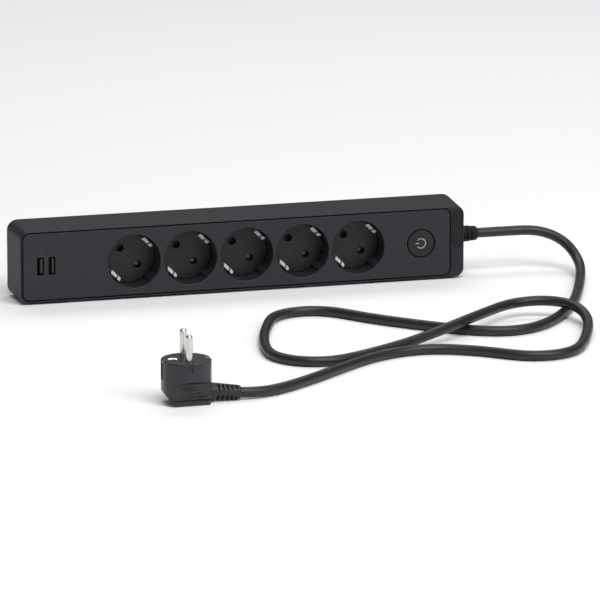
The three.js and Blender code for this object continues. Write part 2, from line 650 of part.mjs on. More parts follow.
// ---- Plug, standing with its pins up; its own +X points along the strain relief ----
function plug() {
  const group = new THREE.Group();
  group.position.set(PLUG.x, PLUG.y, 0);
  group.rotation.z = PLUG.turn;
  part.add(group);
  const pinsY = { live: PIN_SPACING / 2, neutral: -PIN_SPACING / 2 };
  const sleeve = { x: -9.6, outer: 4.4, inner: 2.5, z: PLUG_H - 12 };
  const above = PLUG_H + 1;
  const pocket = around(0, 2 * (CLIP_HALF + 0.4));

  const side = [
    [-PLUG_R, PLUG_H], [-PLUG_R, 12.7], [-16.6, 8.9], [-14.2, 5.1], [-10.8, 1.9], [-8.6, 0.5], [-6.4, 0],
    [16.2, 0], [PLUG_R, 1.4], [PLUG_R, PLUG_H],
  ];
  const round = rodZ(0, 0, PLUG_R, [-1, PLUG_H], 48);
  let body = round.intersect(prismY(side, [-20, 20]));
  for (const sign of [1, -1]) {
    body = body.subtract(flankCutter(sign));
    body = body.subtract(rodZ(0, sign * 18.8, 2.6, [PLUG_H - 6, above], 24));
    body = body.subtract(rodZ(0, sign * PIN_SPACING / 2, PLUG_PIN_R + GAP, [PLUG_H - PIN_SEAT, above], 16));
    body = body.subtract(box(sign > 0 ? [15.6, 19] : [-19, -15.6], pocket, [PLUG_H - 14, above]));
  }
  body = body.subtract(box([13, 16], pocket, [PLUG_H - 1.2, above]));
  body = body.subtract(rodZ(sleeve.x, 0, sleeve.outer + GAP, [sleeve.z - GAP, above], 20));
  const bootHole = [[0, BOOT_START - GAP], [6.6, BOOT_START - GAP], [6.6, 20], [0, 20]];
  addMesh('plug_body', body.subtract(turnedBoot(bootHole, 20)), 'lead', group);

  for (const [name, y] of Object.entries(pinsY)) {
    const [base, tip] = [PLUG_H - PIN_SEAT + GAP, PLUG_H + PLUG_PIN_L];
    const nose = [[PLUG_PIN_R, tip - 2], [2, tip - 0.9], [1.1, tip - 0.2], [0, tip]];
    addMesh(`plug_pin_${name}`, turnedZ(0, y, [[0, base], [PLUG_PIN_R, base], ...nose], 16), 'nickel', group);
  }
  for (const [name, sign] of [['cable_side', 1], ['far_side', -1]]) {
    const depth = sign > 0 ? [16, 16.8] : [-16.8, -16];
    const bulge = sign > 0 ? [16, 17.3] : [-17.3, -16];
    const top = sign > 0 ? [13.4, 16.8] : [-16.8, -16];
    const width = around(0, 2 * CLIP_HALF);
    const strip = box(depth, width, [PLUG_H - 13.6, PLUG_H - 0.1]);
    const rim = box(bulge, width, [PLUG_H - 3, PLUG_H - 0.5]);
    const tab = box(top, width, [PLUG_H - 0.8, PLUG_H - 0.1]);
    addMesh(`plug_earth_${name}`, join(strip, rim, tab), 'nickel', group);
  }
  const ring = cut(
    rodZ(sleeve.x, 0, sleeve.outer, [sleeve.z, PLUG_H], 20),
    rodZ(sleeve.x, 0, sleeve.inner, [sleeve.z + 1, above], 20),
  );
  addMesh('plug_earth_sleeve', ring, 'nickel', group);
  const taper = [[6.3, BOOT_START], [6.1, BOOT_START + 3.2], [5.1, BOOT_END - 0.8], [4.7, BOOT_END]];
  addMesh('plug_boot', turnedBoot([[0, BOOT_START], ...taper, [0, BOOT_END]], 20), 'rubber', group);
}

// Cuts one flank of the plug to a leaning grip, narrower towards the strain relief, with a lip below it.
function flankCutter(sign) {
  const [low, high] = FLANK_Z;
  const rings = [-20, 30].map((x) => {
    const [grip, lip] = [12 - 0.2 * x, 11.75 - 0.05 * x];
    const outline = [
      [grip, high], [grip - FLANK_LEAN, low], [lip, LIP_Z[1]], [lip, LIP_Z[0]], [lip - 1.2, 0],
      [lip - 1.2, -1], [25, -1], [25, high + 0.53 * (25 - grip)],
    ];
    return outline.map(([y, z]) => [x, y * sign, z]);
  });
  return loft(rings);
}

function rodZ(x, y, radius, [z0, z1], sides) {
  return turnedZ(x, y, [[0, z0], [radius, z0], [radius, z1], [0, z1]], sides);
}

// A body turned about an upright axis, from [radius, z] pairs.
function turnedZ(x, y, profile, sides) {
  const geometry = new THREE.LatheGeometry(profile.map(([r, z]) => new THREE.Vector2(r, z)), sides);
  geometry.rotateX(Math.PI / 2);
  geometry.translate(x, y, 0);
  return outward(geometry);
}

function prismZ(outline, [z0, z1]) {
  return loft([z0, z1].map((z) => outline.map(([x, y]) => [x, y, z])));
}

// A body turned about the strain relief's axis, which falls a little from the plug to its end.
function turnedBoot(profile, sides) {
  const points = profile.map(([radius, x]) => new THREE.Vector2(radius, x - BOOT_END));
  const geometry = new THREE.LatheGeometry(points, sides);
  geometry.rotateZ(-Math.PI / 2);
  geometry.rotateY(Math.atan2(BOOT_ROOT_Z - BOOT_END_Z, BOOT_END - PLUG_R));
  geometry.translate(BOOT_END, 0, BOOT_END_Z);
  return outward(geometry);
}

outerHousing();
frontPanel();
rearCover();
badge();
for (const number of numbers) {
  socketWell(number);
  socketInsert(number);
  shutter(number);
  earthContact(number);
}
busbar('live_busbar', 1);
busbar('neutral_busbar', -1);
earthRail();
powerButton();
lightGuide();
buttonSpring();
switchBody();
switchArm();
chargingPort('left', PORT_X[0]);
chargingPort('right', PORT_X[1]);
chargingBoard();
cableGland();
caseScrews();
wires();
plug();
mainsCord();

export default part;
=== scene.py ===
"""Looks of the five-way socket strip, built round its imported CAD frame.

Shapes are modelled in millimetres, in the row's frame, and scaled to metres as each piece is finished.
"""
import math

import bmesh
import bpy
from mathutils import Matrix, Vector


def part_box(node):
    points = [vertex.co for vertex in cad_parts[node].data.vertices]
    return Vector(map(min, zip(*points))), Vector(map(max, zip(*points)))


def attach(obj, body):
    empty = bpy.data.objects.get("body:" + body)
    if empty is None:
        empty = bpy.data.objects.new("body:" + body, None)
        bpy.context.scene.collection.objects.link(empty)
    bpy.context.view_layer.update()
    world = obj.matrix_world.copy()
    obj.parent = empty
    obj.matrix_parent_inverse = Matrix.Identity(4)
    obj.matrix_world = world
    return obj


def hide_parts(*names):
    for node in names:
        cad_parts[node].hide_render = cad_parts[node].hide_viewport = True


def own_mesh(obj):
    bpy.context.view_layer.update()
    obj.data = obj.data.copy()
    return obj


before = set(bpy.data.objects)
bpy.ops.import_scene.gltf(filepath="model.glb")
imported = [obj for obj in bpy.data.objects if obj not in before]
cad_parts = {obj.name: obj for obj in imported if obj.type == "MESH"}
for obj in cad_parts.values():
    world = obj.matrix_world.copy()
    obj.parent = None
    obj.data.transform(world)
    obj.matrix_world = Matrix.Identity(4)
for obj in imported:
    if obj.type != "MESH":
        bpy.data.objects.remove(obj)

MM = 0.001
FULL_TURN = 2 * math.pi
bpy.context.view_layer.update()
scene = bpy.context.scene


def limits(node):
    """A node's span along X, Y and Z, in millimetres."""
    low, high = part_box(node)
    return [(low[i] / MM, high[i] / MM) for i in range(3)]


def middle(span):
    return (span[0] + span[1]) / 2


def srgb(red, green, blue):
    """A linear colour from 0 to 255 display values."""
    def linear(value):
        share = value / 255
        return share / 12.92 if share <= 0.04045 else ((share + 0.055) / 1.055) ** 2.4

    return (linear(red), linear(green), linear(blue), 1.0)


# ---- Driving dimensions, mm ----
DRAFT = 1.5  # how much each side spreads from the front to the back
CORNER_R = 6.5
RIM = 1.15  # housing left round the panel's groove
GROOVE = 0.9  # shadow gap round the panel
WALL = 2.3
WELL_R = 20.1
WELL_LIP = 0.7
PIN_REACH = 9.5  # from a socket's or the plug's axis to each pin
PIN_HOLE_R = 2.8
PIN_TILT = math.radians(135)
EARTH_ANGLE = math.radians(45)
EARTH_HALF = 4.7  # half the width of an earth strap
EARTH_SHEET = 0.6
BUTTON_HOLE_R = 11.0
BUTTON_CAP_R = 10.0
GUIDE_DISC = 0.7  # thickness of the disc behind the sign
SHELL_SHEET = 0.4  # charging port shell
SOCKETS = range(1, 6)
SCREWS = range(1, 7)
KEYHOLE_X = (-112, 116)

HOUSING_X, HOUSING_Y, HOUSING_Z = limits("outer_housing")
FRONT_Y, BACK_Y = HOUSING_Y
MID_Z = middle(HOUSING_Z)
FRONT_LENGTH = HOUSING_X[1] - HOUSING_X[0] - 2 * DRAFT
FRONT_HEIGHT = HOUSING_Z[1] - HOUSING_Z[0] - 2 * DRAFT
PANEL_RIGHT = limits("front_panel")[0][1]
PANEL_BACK = limits("front_panel")[1][1]
FLOOR_Y, FLOOR_BACK = limits("socket_insert_1")[1]
SOCKET_X = {n: middle(limits(f"socket_insert_{n}")[0]) for n in SOCKETS}
BUTTON_X = middle(limits("power_button")[0])
BUTTON_Z = middle(limits("power_button")[2])
BUTTON_AT = (BUTTON_X, BUTTON_Z)
PORTS = {side: limits(f"usb_shell_{side}") for side in ("left", "right")}
OUTLET_Y = middle(limits("cable_gland")[1])
OUTLET_Z = middle(limits("cable_gland")[2])
PLUG_TURN = math.radians(-2)
PLUG_X = middle(limits("plug_body")[0])
PLUG_Y = middle(limits("plug_body")[1])
PLUG_TOP = limits("plug_body")[2][1]
PLUG_R = 17.6
PIN_R = 2.4
BOOT_START, BOOT_END = 15.2, 38  # strain relief, along its axis from the plug's
BOOT_ROOT_Z, BOOT_END_Z = 7.1, 5.25
GRIP_HALF, GRIP_TAPER = 12, 0.2  # half width at the plug's axis, and its loss for each mm along
LIP_HALF, LIP_TAPER = 11.75, 0.05
FLANK_FOOT, FLANK_TOP, FLANK_LEAN = 4.4, 15.5, 2.2
SLEEVE_X = -9.6  # earth sleeve's axis
STRIP_HALF = 2.8  # half the width of the plug's earth strips
CORD_R = 3.7
LEAD_BORE_R, LEAD_BORE = 3.85, 1.6  # the bores that take the lead's ends


# ---- Camera and light ----
def add_camera():
    """A long lens, from the left and a little above."""
    azimuth, elevation, distance = math.radians(-15.53), math.radians(13.31), 4.8
    aim = Vector((0.0439, -0.0150, -0.0098))
    back = Vector((
        math.sin(azimuth) * math.cos(elevation),
        -math.cos(azimuth) * math.cos(elevation),
        math.sin(elevation),
    ))
    data = bpy.data.cameras.new("camera")
    data.sensor_width = 36
    data.lens = 386.84
    data.clip_start, data.clip_end = 0.5, 60
    camera = bpy.data.objects.new("camera", data)
    camera.location = aim + back * distance
    camera.rotation_mode = "QUATERNION"
    camera.rotation_quaternion = (-back).to_track_quat("-Z", "Y")
    scene.collection.objects.link(camera)
    scene.camera = camera


def add_softbox(name, place, aim, size, power):
    data = bpy.data.lights.new(name, "AREA")
    data.shape = "RECTANGLE"
    data.size, data.size_y = size
    data.energy = power
    light = bpy.data.objects.new(name, data)
    light.location = place
    light.rotation_mode = "QUATERNION"
    light.rotation_quaternion = (Vector(aim) - Vector(place)).to_track_quat("-Z", "Y")
    scene.collection.objects.link(light)


def add_stage():
    """A pale floor, a dim surround and three large softboxes."""
    scene.view_settings.view_transform = "Standard"
    world = bpy.data.worlds.new("surround")
    world.use_nodes = True
    background = world.node_tree.nodes["Background"]
    background.inputs["Color"].default_value = (0.97, 0.98, 1.0, 1)
    background.inputs["Strength"].default_value = 0.2
    scene.world = world
    add_softbox("key", (0.15, -1.5, 2.4), (0.02, -0.15, 0), (2.0, 2.0), 54)
    add_softbox("fill", (1.3, -2.0, 1.5), (0.05, -0.15, 0), (1.6, 1.2), 20)
    add_softbox("back", (0.4, 1.3, 1.9), (0.05, -0.1, 0), (2.2, 1.0), 18)
    bpy.ops.mesh.primitive_plane_add(size=40)
    floor = bpy.context.object
    floor.name = "floor"
    material = bpy.data.materials.new("floor_paper")
    material.use_nodes = True
    shader = material.node_tree.nodes["Principled BSDF"]
    shader.inputs["Base Color"].default_value = (0.97, 0.97, 0.972, 1)
    shader.inputs["Roughness"].default_value = 0.8
    shader.inputs["Specular IOR Level"].default_value = 0.2
    floor.data.materials.append(material)


# ---- Mesh helpers ----
def solid(name, points, faces):
    """A closed mesh object in millimetres, its faces turned outwards."""
    mesh = bpy.data.meshes.new(name)
    mesh.from_pydata(points, [], faces)
    work = bmesh.new()
    work.from_mesh(mesh)
    bmesh.ops.remove_doubles(work, verts=work.verts, dist=1e-4)
    bmesh.ops.recalc_face_normals(work, faces=work.faces)
    work.to_mesh(mesh)
    work.free()
    obj = bpy.data.objects.new(name, mesh)
    scene.collection.objects.link(obj)
    return obj


def loft(name, rings):
    """A solid through rings of equal length, capped at both ends."""
    count = len(rings[0])
    faces = []
    for ring in range(len(rings) - 1):
        for i in range(count):
            a, b = ring * count + i, ring * count + (i + 1) % count
            faces.append((a, b, b + count, a + count))
    faces.append(tuple(range(count)))
    faces.append(tuple(range((len(rings) - 1) * count, len(rings) * count)))
    return solid(name, [point for ring in rings for point in ring], faces)


def on_axis(axis, centre, across, up, along):
    """A point from its place along an axis and across it. centre is the axis's other two coordinates."""
    if axis == "x":
        return (along, centre[0] + across, centre[1] + up)
    if axis == "y":
        return (centre[0] + across, along, centre[1] + up)
    return (centre[0] + across, centre[1] + up, along)


def turned(name, profile, centre, axis="y", sides=96):
    """A body of revolution from (radius, along) pairs, from axis to axis. Flat ends are single faces."""
    points, rows, faces = [], [], []
    for index, (radius, along) in enumerate(profile):
        neighbour = profile[1] if index == 0 else profile[index - 1]
        if radius == 0 and abs(neighbour[1] - along) < 1e-6:
            continue
        count = 1 if radius == 0 else sides
        rows.append([len(points) + i for i in range(count)])
        for i in range(count):
            angle = FULL_TURN * (i + 0.5) / sides
            across, up = radius * math.cos(angle), radius * math.sin(angle)
            points.append(on_axis(axis, centre, across, up, along))
    for lower, upper in zip(rows, rows[1:]):
        for i in range(sides):
            j = (i + 1) % sides
            corners = [ring[k % len(ring)] for ring, k in ((lower, i), (lower, j), (upper, j), (upper, i))]
            face = list(dict.fromkeys(corners))
            if len(face) > 2:
                faces.append(face)
    faces += [row for row in (rows[0], rows[-1]) if len(row) > 1]
    return solid(name, points, faces)


def softened(points, radius, steps=4, closed=False):
    """A 2-D outline with its corners rounded. radius is one number, or one for each corner."""
    count = len(points)
    radii = radius if isinstance(radius, (list, tuple)) else [radius] * count
    outline = []
    for i, (here, size) in enumerate(zip(points, radii)):
        if size == 0 or (not closed and i in (0, count - 1)):
            outline.append(tuple(here))
            continue
        here = Vector(here)
        before, after = Vector(points[i - 1]), Vector(points[(i + 1) % count])
        into, out = (before - here), (after - here)
        half = into.angle(out) / 2
        reach = min(size / math.tan(half), 0.49 * into.length, 0.49 * out.length)
        size = reach * math.tan(half)
        into.normalize()
        out.normalize()
        hub = here + (into + out).normalized() * (size / math.sin(half))
        start = here + into * reach - hub
        end = here + out * reach - hub
        for k in range(steps + 1):
            share = k / steps
            spoke = start.slerp(end, share) if start.angle(end) > 1e-4 else start
            outline.append(tuple(hub + spoke.normalized() * size))
    return outline


def round_rect(width, height, radius, centre=(0, 0), steps=12):
    corners = [(width / 2 * u, height / 2 * v) for u, v in ((1, 1), (-1, 1), (-1, -1), (1, -1))]
    return [(centre[0] + u, centre[1] + v) for u, v in softened(corners, radius, steps, closed=True)]


def triangulated(obj):
    """Splits every face into triangles, so that none is warped."""
    work = bmesh.new()
    work.from_mesh(obj.data)
    bmesh.ops.triangulate(work, faces=work.faces)
    work.to_mesh(obj.data)
    work.free()
    return obj


def at_depth(y, outline):
    return [(u, y, v) for u, v in outline]


def prism(name, outline, span, axis="y"):
    """A straight body along an axis, with the outline in the other two."""
    return loft(name, [[on_axis(axis, (0, 0), u, v, along) for u, v in outline] for along in span])


def block(name, x, y, z):
    outline = [(x[0], z[0]), (x[1], z[0]), (x[1], z[1]), (x[0], z[1])]
    return prism(name, outline, y)


def bake(obj):
    """Applies the object's modifiers to its mesh."""
    depsgraph = bpy.context.evaluated_depsgraph_get()
    mesh = bpy.data.meshes.new_from_object(obj.evaluated_get(depsgraph))
    obj.modifiers.clear()
    obj.data = mesh


def mend(mesh):
    """Welds the hairline seams that a boolean can leave, and closes what stays open."""
    work = bmesh.new()
    work.from_mesh(mesh)
    if all(edge.is_manifold for edge in work.edges):
        work.free()
        return
    bmesh.ops.remove_doubles(work, verts=work.verts, dist=2e-3)
    bmesh.ops.dissolve_degenerate(work, edges=work.edges, dist=1e-3)
    edges = [edge for edge in work.edges if len(edge.link_faces) == 1]
    bmesh.ops.holes_fill(work, edges=edges, sides=0)
    loose = [vert for vert in work.verts if not vert.link_faces]
    bmesh.ops.delete(work, geom=loose, context="VERTS")
    bmesh.ops.recalc_face_normals(work, faces=work.faces)
    work.to_mesh(mesh)
    work.free()


def combine(base, operation, tools):
    for tool in tools:
        modifier = base.modifiers.new(operation, "BOOLEAN")
        modifier.operation = operation
        modifier.solver = "EXACT"
        modifier.object = tool
    bake(base)
    mend(base.data)
    for tool in tools:
        bpy.data.objects.remove(tool)
    return base


def cut(base, *tools):
    return combine(base, "DIFFERENCE", tools)


def join(base, *tools):
    return combine(base, "UNION", tools)


def round_edges(obj, width, segments=3, angle=30):
    modifier = obj.modifiers.new("round", "BEVEL")
    modifier.width = width
    modifier.segments = segments
    modifier.limit_method = "ANGLE"
    modifier.angle_limit = math.radians(angle)
    modifier.use_clamp_overlap = True
    bake(obj)
    return obj


FULLY_BENT = 18  # degrees between neighbouring faces of a rounding


def mark_edges(mesh):
    """Stores how far each face belongs to a rounded outer edge, from 0 to 1, for the materials' wear and
    painted edge highlight.
    """
    work = bmesh.new()
    work.from_mesh(mesh)
    values = []
    for face in work.faces:
        shared = [edge for edge in face.edges if len(edge.link_faces) == 2]
        bends = sorted((edge.calc_face_angle_signed(0) for edge in shared), reverse=True)
        second = bends[1] if len(bends) > 1 else 0
        values.append(min(max(math.degrees(second) / FULLY_BENT, 0), 1))
    work.free()
    attribute = mesh.attributes.new("edge", "FLOAT", "FACE")
    attribute.data.foreach_set("value", values)


def finish_piece(obj, look, nodes, sharp=32, body="casing"):
    """Scales a piece to metres, shades it, and hands it to its body."""
    obj.data.transform(Matrix.Scale(MM, 4))
    obj.data.shade_smooth()
    obj.data.set_sharp_from_angle(angle=math.radians(sharp))
    mark_edges(obj.data)
    weighted = obj.modifiers.new("shade", "WEIGHTED_NORMAL")
    weighted.keep_sharp = True
    bake(obj)
    obj.data.materials.clear()
    obj.data.materials.append(LOOKS[look])
    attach(obj, body)
    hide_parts(*nodes)
    return obj


# ---- Materials ----
class Nodes:
    """A short way to write a material's node tree round its Principled shader."""

    def __init__(self, name):
        self.material = bpy.data.materials.new(name)
        self.material.use_nodes = True
        self.tree = self.material.node_tree
        self.shader = self.tree.nodes["Principled BSDF"]
        self.place = self.tree.nodes.new("ShaderNodeTexCoord").outputs["Object"]

    def add(self, kind, inputs=(), **settings):
        node = self.tree.nodes.new(kind)
        for key, value in settings.items():
            setattr(node, key, value)
        for key, value in dict(inputs).items():
            if isinstance(value, bpy.types.NodeSocket):
                self.tree.links.new(value, node.inputs[key])
            else:
                node.inputs[key].default_value = value
        return node

    def noise(self, size_mm, detail=2.0, stretch=(1, 1, 1)):
        """Noise whose features are size_mm across, longer along an axis where stretch is over 1."""
        scale = tuple(1 / (size_mm * MM * share) for share in stretch)
        scaled = self.add("ShaderNodeMapping", {"Vector": self.place, "Scale": scale})
        inputs = {"Vector": scaled.outputs[0], "Scale": 1.0, "Detail": detail, "Roughness": 0.55}
        return self.add("ShaderNodeTexNoise", inputs).outputs["Fac"]

    def ramp(self, value, low, high, to_low, to_high):
        """The value, with low to high turned into to_low to to_high."""
        inputs = {"Value": value, "From Min": low, "From Max": high, "To Min": to_low, "To Max": to_high}
        return self.add("ShaderNodeMapRange", inputs).outputs[0]

    def blend(self, factor, first, second):
        node = self.add("ShaderNodeMix", data_type="RGBA")
        self.tree.links.new(factor, node.inputs[0])
        for socket, value in ((node.inputs[6], first), (node.inputs[7], second)):
            if isinstance(value, bpy.types.NodeSocket):
                self.tree.links.new(value, socket)
            else:
                socket.default_value = value
        return node.outputs[2]

    def math(self, operation, first, second):
        node = self.add("ShaderNodeMath", operation=operation)
        for socket, value in zip(node.inputs, (first, second)):
            if isinstance(value, bpy.types.NodeSocket):
                self.tree.links.new(value, socket)
            else:
                socket.default_value = value
        return node.outputs[0]

    def bump(self, height, depth_mm, strength=1.0, below=None):
        inputs = {"Height": height, "Distance": depth_mm * MM, "Strength": strength}
        node = self.add("ShaderNodeBump", inputs)
        if below is not None:
            self.tree.links.new(below, node.inputs["Normal"])
        return node.outputs[0]

    def link(self, **sockets):
        for name, value in sockets.items():
            self.tree.links.new(value, self.shader.inputs[name.replace("_", " ")])

    def set(self, **values):
        for name, value in values.items():
            self.shader.inputs[name.replace("_", " ")].default_value = value


def shade_of(colour, factor):
    return tuple(min(c * factor, 1.0) for c in colour[:3]) + (1.0,)


def plastic(name, colour, roughness, grain=0.22, depth=0.01, wear_and_highlight=0.4, mottle=0.03, specular=0.4):
    """Spark-textured moulding: fine grain, faint mottling, and edges handled smooth and a little paler,
    partly as wear and partly as a painted highlight.
    """
    nodes = Nodes(name)
    broad = nodes.noise(16, 4)
    fine = nodes.noise(grain, 3)
    rub_and_highlight_patches = nodes.noise(3.5, 3)
    mottled = nodes.blend(broad, shade_of(colour, 1 - mottle), shade_of(colour, 1 + mottle))
    speckled = nodes.blend(nodes.ramp(fine, 0.35, 0.7, 0, 0.5), mottled, shade_of(colour, 1.28))
    edge = nodes.add("ShaderNodeAttribute", attribute_name="edge").outputs["Fac"]
    # Convex edges are painted paler: partly rubbed wear, partly a painted highlight along every edge.
    worn_and_highlit = nodes.math("MULTIPLY", edge, nodes.ramp(rub_and_highlight_patches, 0.42, 0.66, 0.15 * wear_and_highlight, wear_and_highlight))
    base = nodes.blend(worn_and_highlit, speckled, shade_of(colour, 1.75))
    rough = nodes.ramp(nodes.noise(5, 4), 0.3, 0.7, roughness - 0.03, roughness + 0.03)
    rough = nodes.math("SUBTRACT", rough, nodes.math("MULTIPLY", worn_and_highlit, 0.18))
    swell = nodes.bump(nodes.noise(7, 1), 0.01, 0.5)
    nodes.link(Base_Color=base, Roughness=rough, Normal=nodes.bump(fine, depth, 0.8, swell))
    nodes.set(Specular_IOR_Level=specular)
    return nodes.material


def metal(name, colour, roughness, stretch=(1, 1, 1), metallic=1.0):
    """Plated or rolled metal: fine drawing lines, cloudy dulling, and a few rubbed patches."""
    nodes = Nodes(name)
    cloud = nodes.noise(4, 4)
    lines = nodes.noise(0.12, 2, stretch)
    base = nodes.blend(cloud, shade_of(colour, 0.82), shade_of(colour, 1.12))
    rough = nodes.ramp(nodes.noise(1.6, 4), 0.3, 0.75, roughness - 0.07, roughness + 0.14)
    nodes.link(Base_Color=base, Roughness=rough, Normal=nodes.bump(lines, 0.004, 0.5))
    nodes.set(Metallic=metallic)
    return nodes.material


def vinyl(name, colour, roughness):
    """The lead's sheath: satin, faintly wavy along its length, dusty in places."""
    nodes = Nodes(name)
    dust = nodes.ramp(nodes.noise(11, 5), 0.45, 0.75, 0, 0.35)
    sheath = nodes.blend(nodes.noise(30, 2), shade_of(colour, 0.92), shade_of(colour, 1.08))
    base = nodes.blend(dust, sheath, shade_of(colour, 1.35))
    rough = nodes.ramp(nodes.noise(5, 4), 0.3, 0.7, roughness - 0.06, roughness + 0.1)
    swell = nodes.bump(nodes.noise(6, 2), 0.06, 0.5)
    grain = nodes.bump(nodes.noise(0.35, 3), 0.01, 0.7, swell)
    nodes.link(Base_Color=base, Roughness=rough, Normal=grain)
    nodes.set(Specular_IOR_Level=0.48)
    return nodes.material


LOOKS = {
    "housing": plastic("housing_plastic", srgb(32, 31, 37), 0.57, specular=0.28),
    "panel": plastic("panel_plastic", srgb(33, 32, 38), 0.5),
    "insert": plastic("insert_plastic", srgb(33, 33, 34), 0.45, grain=0.3),
    "button": plastic("button_plastic", srgb(25, 25, 27), 0.45, grain=0.18, depth=0.005, wear_and_highlight=0.6),
    "badge": plastic("badge_plastic", srgb(15, 16, 15), 0.46, depth=0.004, specular=0.34),
    "sign": plastic("light_guide_plastic", srgb(178, 178, 181), 0.4, depth=0.003, wear_and_highlight=0.0, mottle=0.02),
    "shutter": plastic("shutter_plastic", srgb(26, 26, 27), 0.5, wear_and_highlight=0.2),
    "stud": plastic("stud_plastic", srgb(150, 149, 144), 0.4, wear_and_highlight=0.2),
    "clip": metal("clip_nickel", srgb(236, 235, 231), 0.42, metallic=0.3),
    "nickel": metal("contact_nickel", srgb(212, 211, 208), 0.2, (1, 14, 1)),
    "brass": metal("busbar_brass", srgb(205, 168, 96), 0.3, (18, 1, 1)),
    "steel": metal("screw_steel", srgb(176, 178, 180), 0.3, (6, 1, 6)),
    "switch": plastic("switch_plastic", srgb(30, 30, 31), 0.5),
    "tongue": plastic("usb_insulator", srgb(44, 44, 43), 0.45, grain=0.15, depth=0.004, wear_and_highlight=0.2),
    "gold": metal("contact_gold", srgb(220, 180, 96), 0.25, (1, 10, 1)),
    "board": plastic("circuit_board", srgb(30, 92, 60), 0.35, grain=0.4, wear_and_highlight=0.1),
    "tape": plastic("transformer_tape", srgb(206, 176, 60), 0.4, wear_and_highlight=0.1),
    "gland": plastic("gland_rubber", srgb(16, 16, 18), 0.6, grain=0.4, depth=0.02, wear_and_highlight=0.3, specular=0.22),
    "boot": plastic("boot_rubber", srgb(34, 34, 38), 0.5, grain=0.3, depth=0.012, wear_and_highlight=0.35),
    "cord": vinyl("cord_vinyl", srgb(26, 25, 30), 0.4),
    "plug": plastic("plug_plastic", srgb(36, 35, 40), 0.34, grain=0.3, depth=0.005, wear_and_highlight=0.5, specular=0.42),
    "brown": vinyl("wire_brown", srgb(98, 62, 40), 0.4),
    "blue": vinyl("wire_blue", srgb(50, 96, 170), 0.4),
    "earth": vinyl("wire_green_yellow", srgb(165, 180, 50), 0.4),
}

# ---- Lead ----
ROUTE = [
    (186.3, 2, 29.2), (216, 2, 29.2), (235, 2, 29), (253, -10, 22.6), (260, -30, 6.6),
    (243, -74, 3.8), (223, -128, 3.8), (192, -180, 3.8), (161, -206, 3.8), (129, -202, 3.8),
    (92, -170, 3.8), (58, -135, 3.8), (43, -110, 3.8), (19, -102, 3.8), (-5, -113, 3.8),
    (-16, -142, 3.8), (-27, -171, 3.8), (-36, -210, 3.8), (-36, -234, 3.8), (-23, -253, 3.8),
    (2, -260, 3.8), (35, -241, 3.9), (71, -225, 6.2), (115, -202, 13.3), (143, -170, 10.9),
    (165, -149, 10.8), (192, -150, 12.2), (211, -169, 11.6), (212, -197, 5.6), (194, -240, 3.9),
    (178, -274, 3.8), (154, -284, 3.8), (133, -278, 3.8), (117, -260, 3.8), (83, -239, 3.8),
    (51, -242, 3.8), (20, -260, 3.8), (-16, -294, 4), (-64.2, -332.96, 4), (-87.1, -332.16, 5.22),
]


def spline(points, steps):
    """A uniform cubic B-spline from the first point to the last."""
    route = [Vector(point) for point in points]
    route = [2 * route[0] - route[1], *route, 2 * route[-1] - route[-2]]
    line = []
    for i in range(len(route) - 3):
        a, b, c, d = route[i:i + 4]
        last = i == len(route) - 4
        for k in range(steps + last):
            t = k / steps
            second = 3 * t ** 3 - 6 * t ** 2 + 4
            third = -3 * t ** 3 + 3 * t ** 2 + 3 * t + 1
            line.append((a * (1 - t) ** 3 + b * second + c * third + d * t ** 3) / 6)
    return line


def tube(name, line, radius, sides):
    """A round tube along a line, its section carried along without twist."""
    last = len(line) - 1
    tangents = [(line[min(i + 1, last)] - line[max(i - 1, 0)]).normalized() for i in range(last + 1)]
    side = tangents[0].orthogonal().normalized()
    rings = []
    for point, tangent in zip(line, tangents):
        side = (side - tangent * side.dot(tangent)).normalized()
        other = tangent.cross(side)
        angles = [FULL_TURN * k / sides for k in range(sides)]
        rings.append([tuple(point + (side * math.cos(a) + other * math.sin(a)) * radius) for a in angles])
    return loft(name, rings)


def lead():
    """The mains lead. Its two ends reach a little way into the gland and the strain relief."""
    line = spline(ROUTE, 14)
    buried = 1.2
    start = line[0] + (line[0] - line[1]).normalized() * buried
    end = line[-1] + (line[-1] - line[-2]).normalized() * buried
    cord = tube("mains_lead", [start, *line, end], CORD_R, 28)
    finish_piece(cord, "cord", ["mains_cord"])


# ---- Casing ----
def housing_ring(y, inset):
    """The housing's outline at depth y, drawn in by inset."""
    share = (y - FRONT_Y) / (BACK_Y - FRONT_Y)
    spread = 2 * (DRAFT * share - inset)
    radius = max(CORNER_R + DRAFT * share - inset, 0.6)
    return at_depth(y, round_rect(FRONT_LENGTH + spread, FRONT_HEIGHT + spread, radius, (0, MID_Z), 14))


def housing_core(name, span, inset):
    return loft(name, [housing_ring(y, inset) for y in span])


def panel_ring(y, inset, right):
    """The panel's outline at depth y: drawn in by inset from the housing's front, but ending at right."""
    left = -FRONT_LENGTH / 2 + inset
    radius = max(CORNER_R - inset, 0.6)
    centre = ((left + right) / 2, MID_Z)
    return at_depth(y, round_rect(right - left, FRONT_HEIGHT - 2 * inset, radius, centre, 10))


def quarter(radius, steps=5):
    """(inset, depth) pairs of a rounded edge, from the face to the side."""
    angles = [math.pi / 2 * k / steps for k in range(steps + 1)]
    return [(radius * (1 - math.sin(a)), radius * (1 - math.cos(a))) for a in angles]


def screw_places():
    spans = [limits(f"case_screw_{n}") for n in SCREWS]
    return [(middle(x), middle(z)) for x, _, z in spans]


def housing_boss(x, z):
    """A block on the housing's long wall, for a case screw."""
    reach = (HOUSING_Z[0] + DRAFT, z + 3) if z < MID_Z else (z - 3, HOUSING_Z[1] - DRAFT)
    return block("boss", (x - 3, x + 3), (-6, 15), reach)


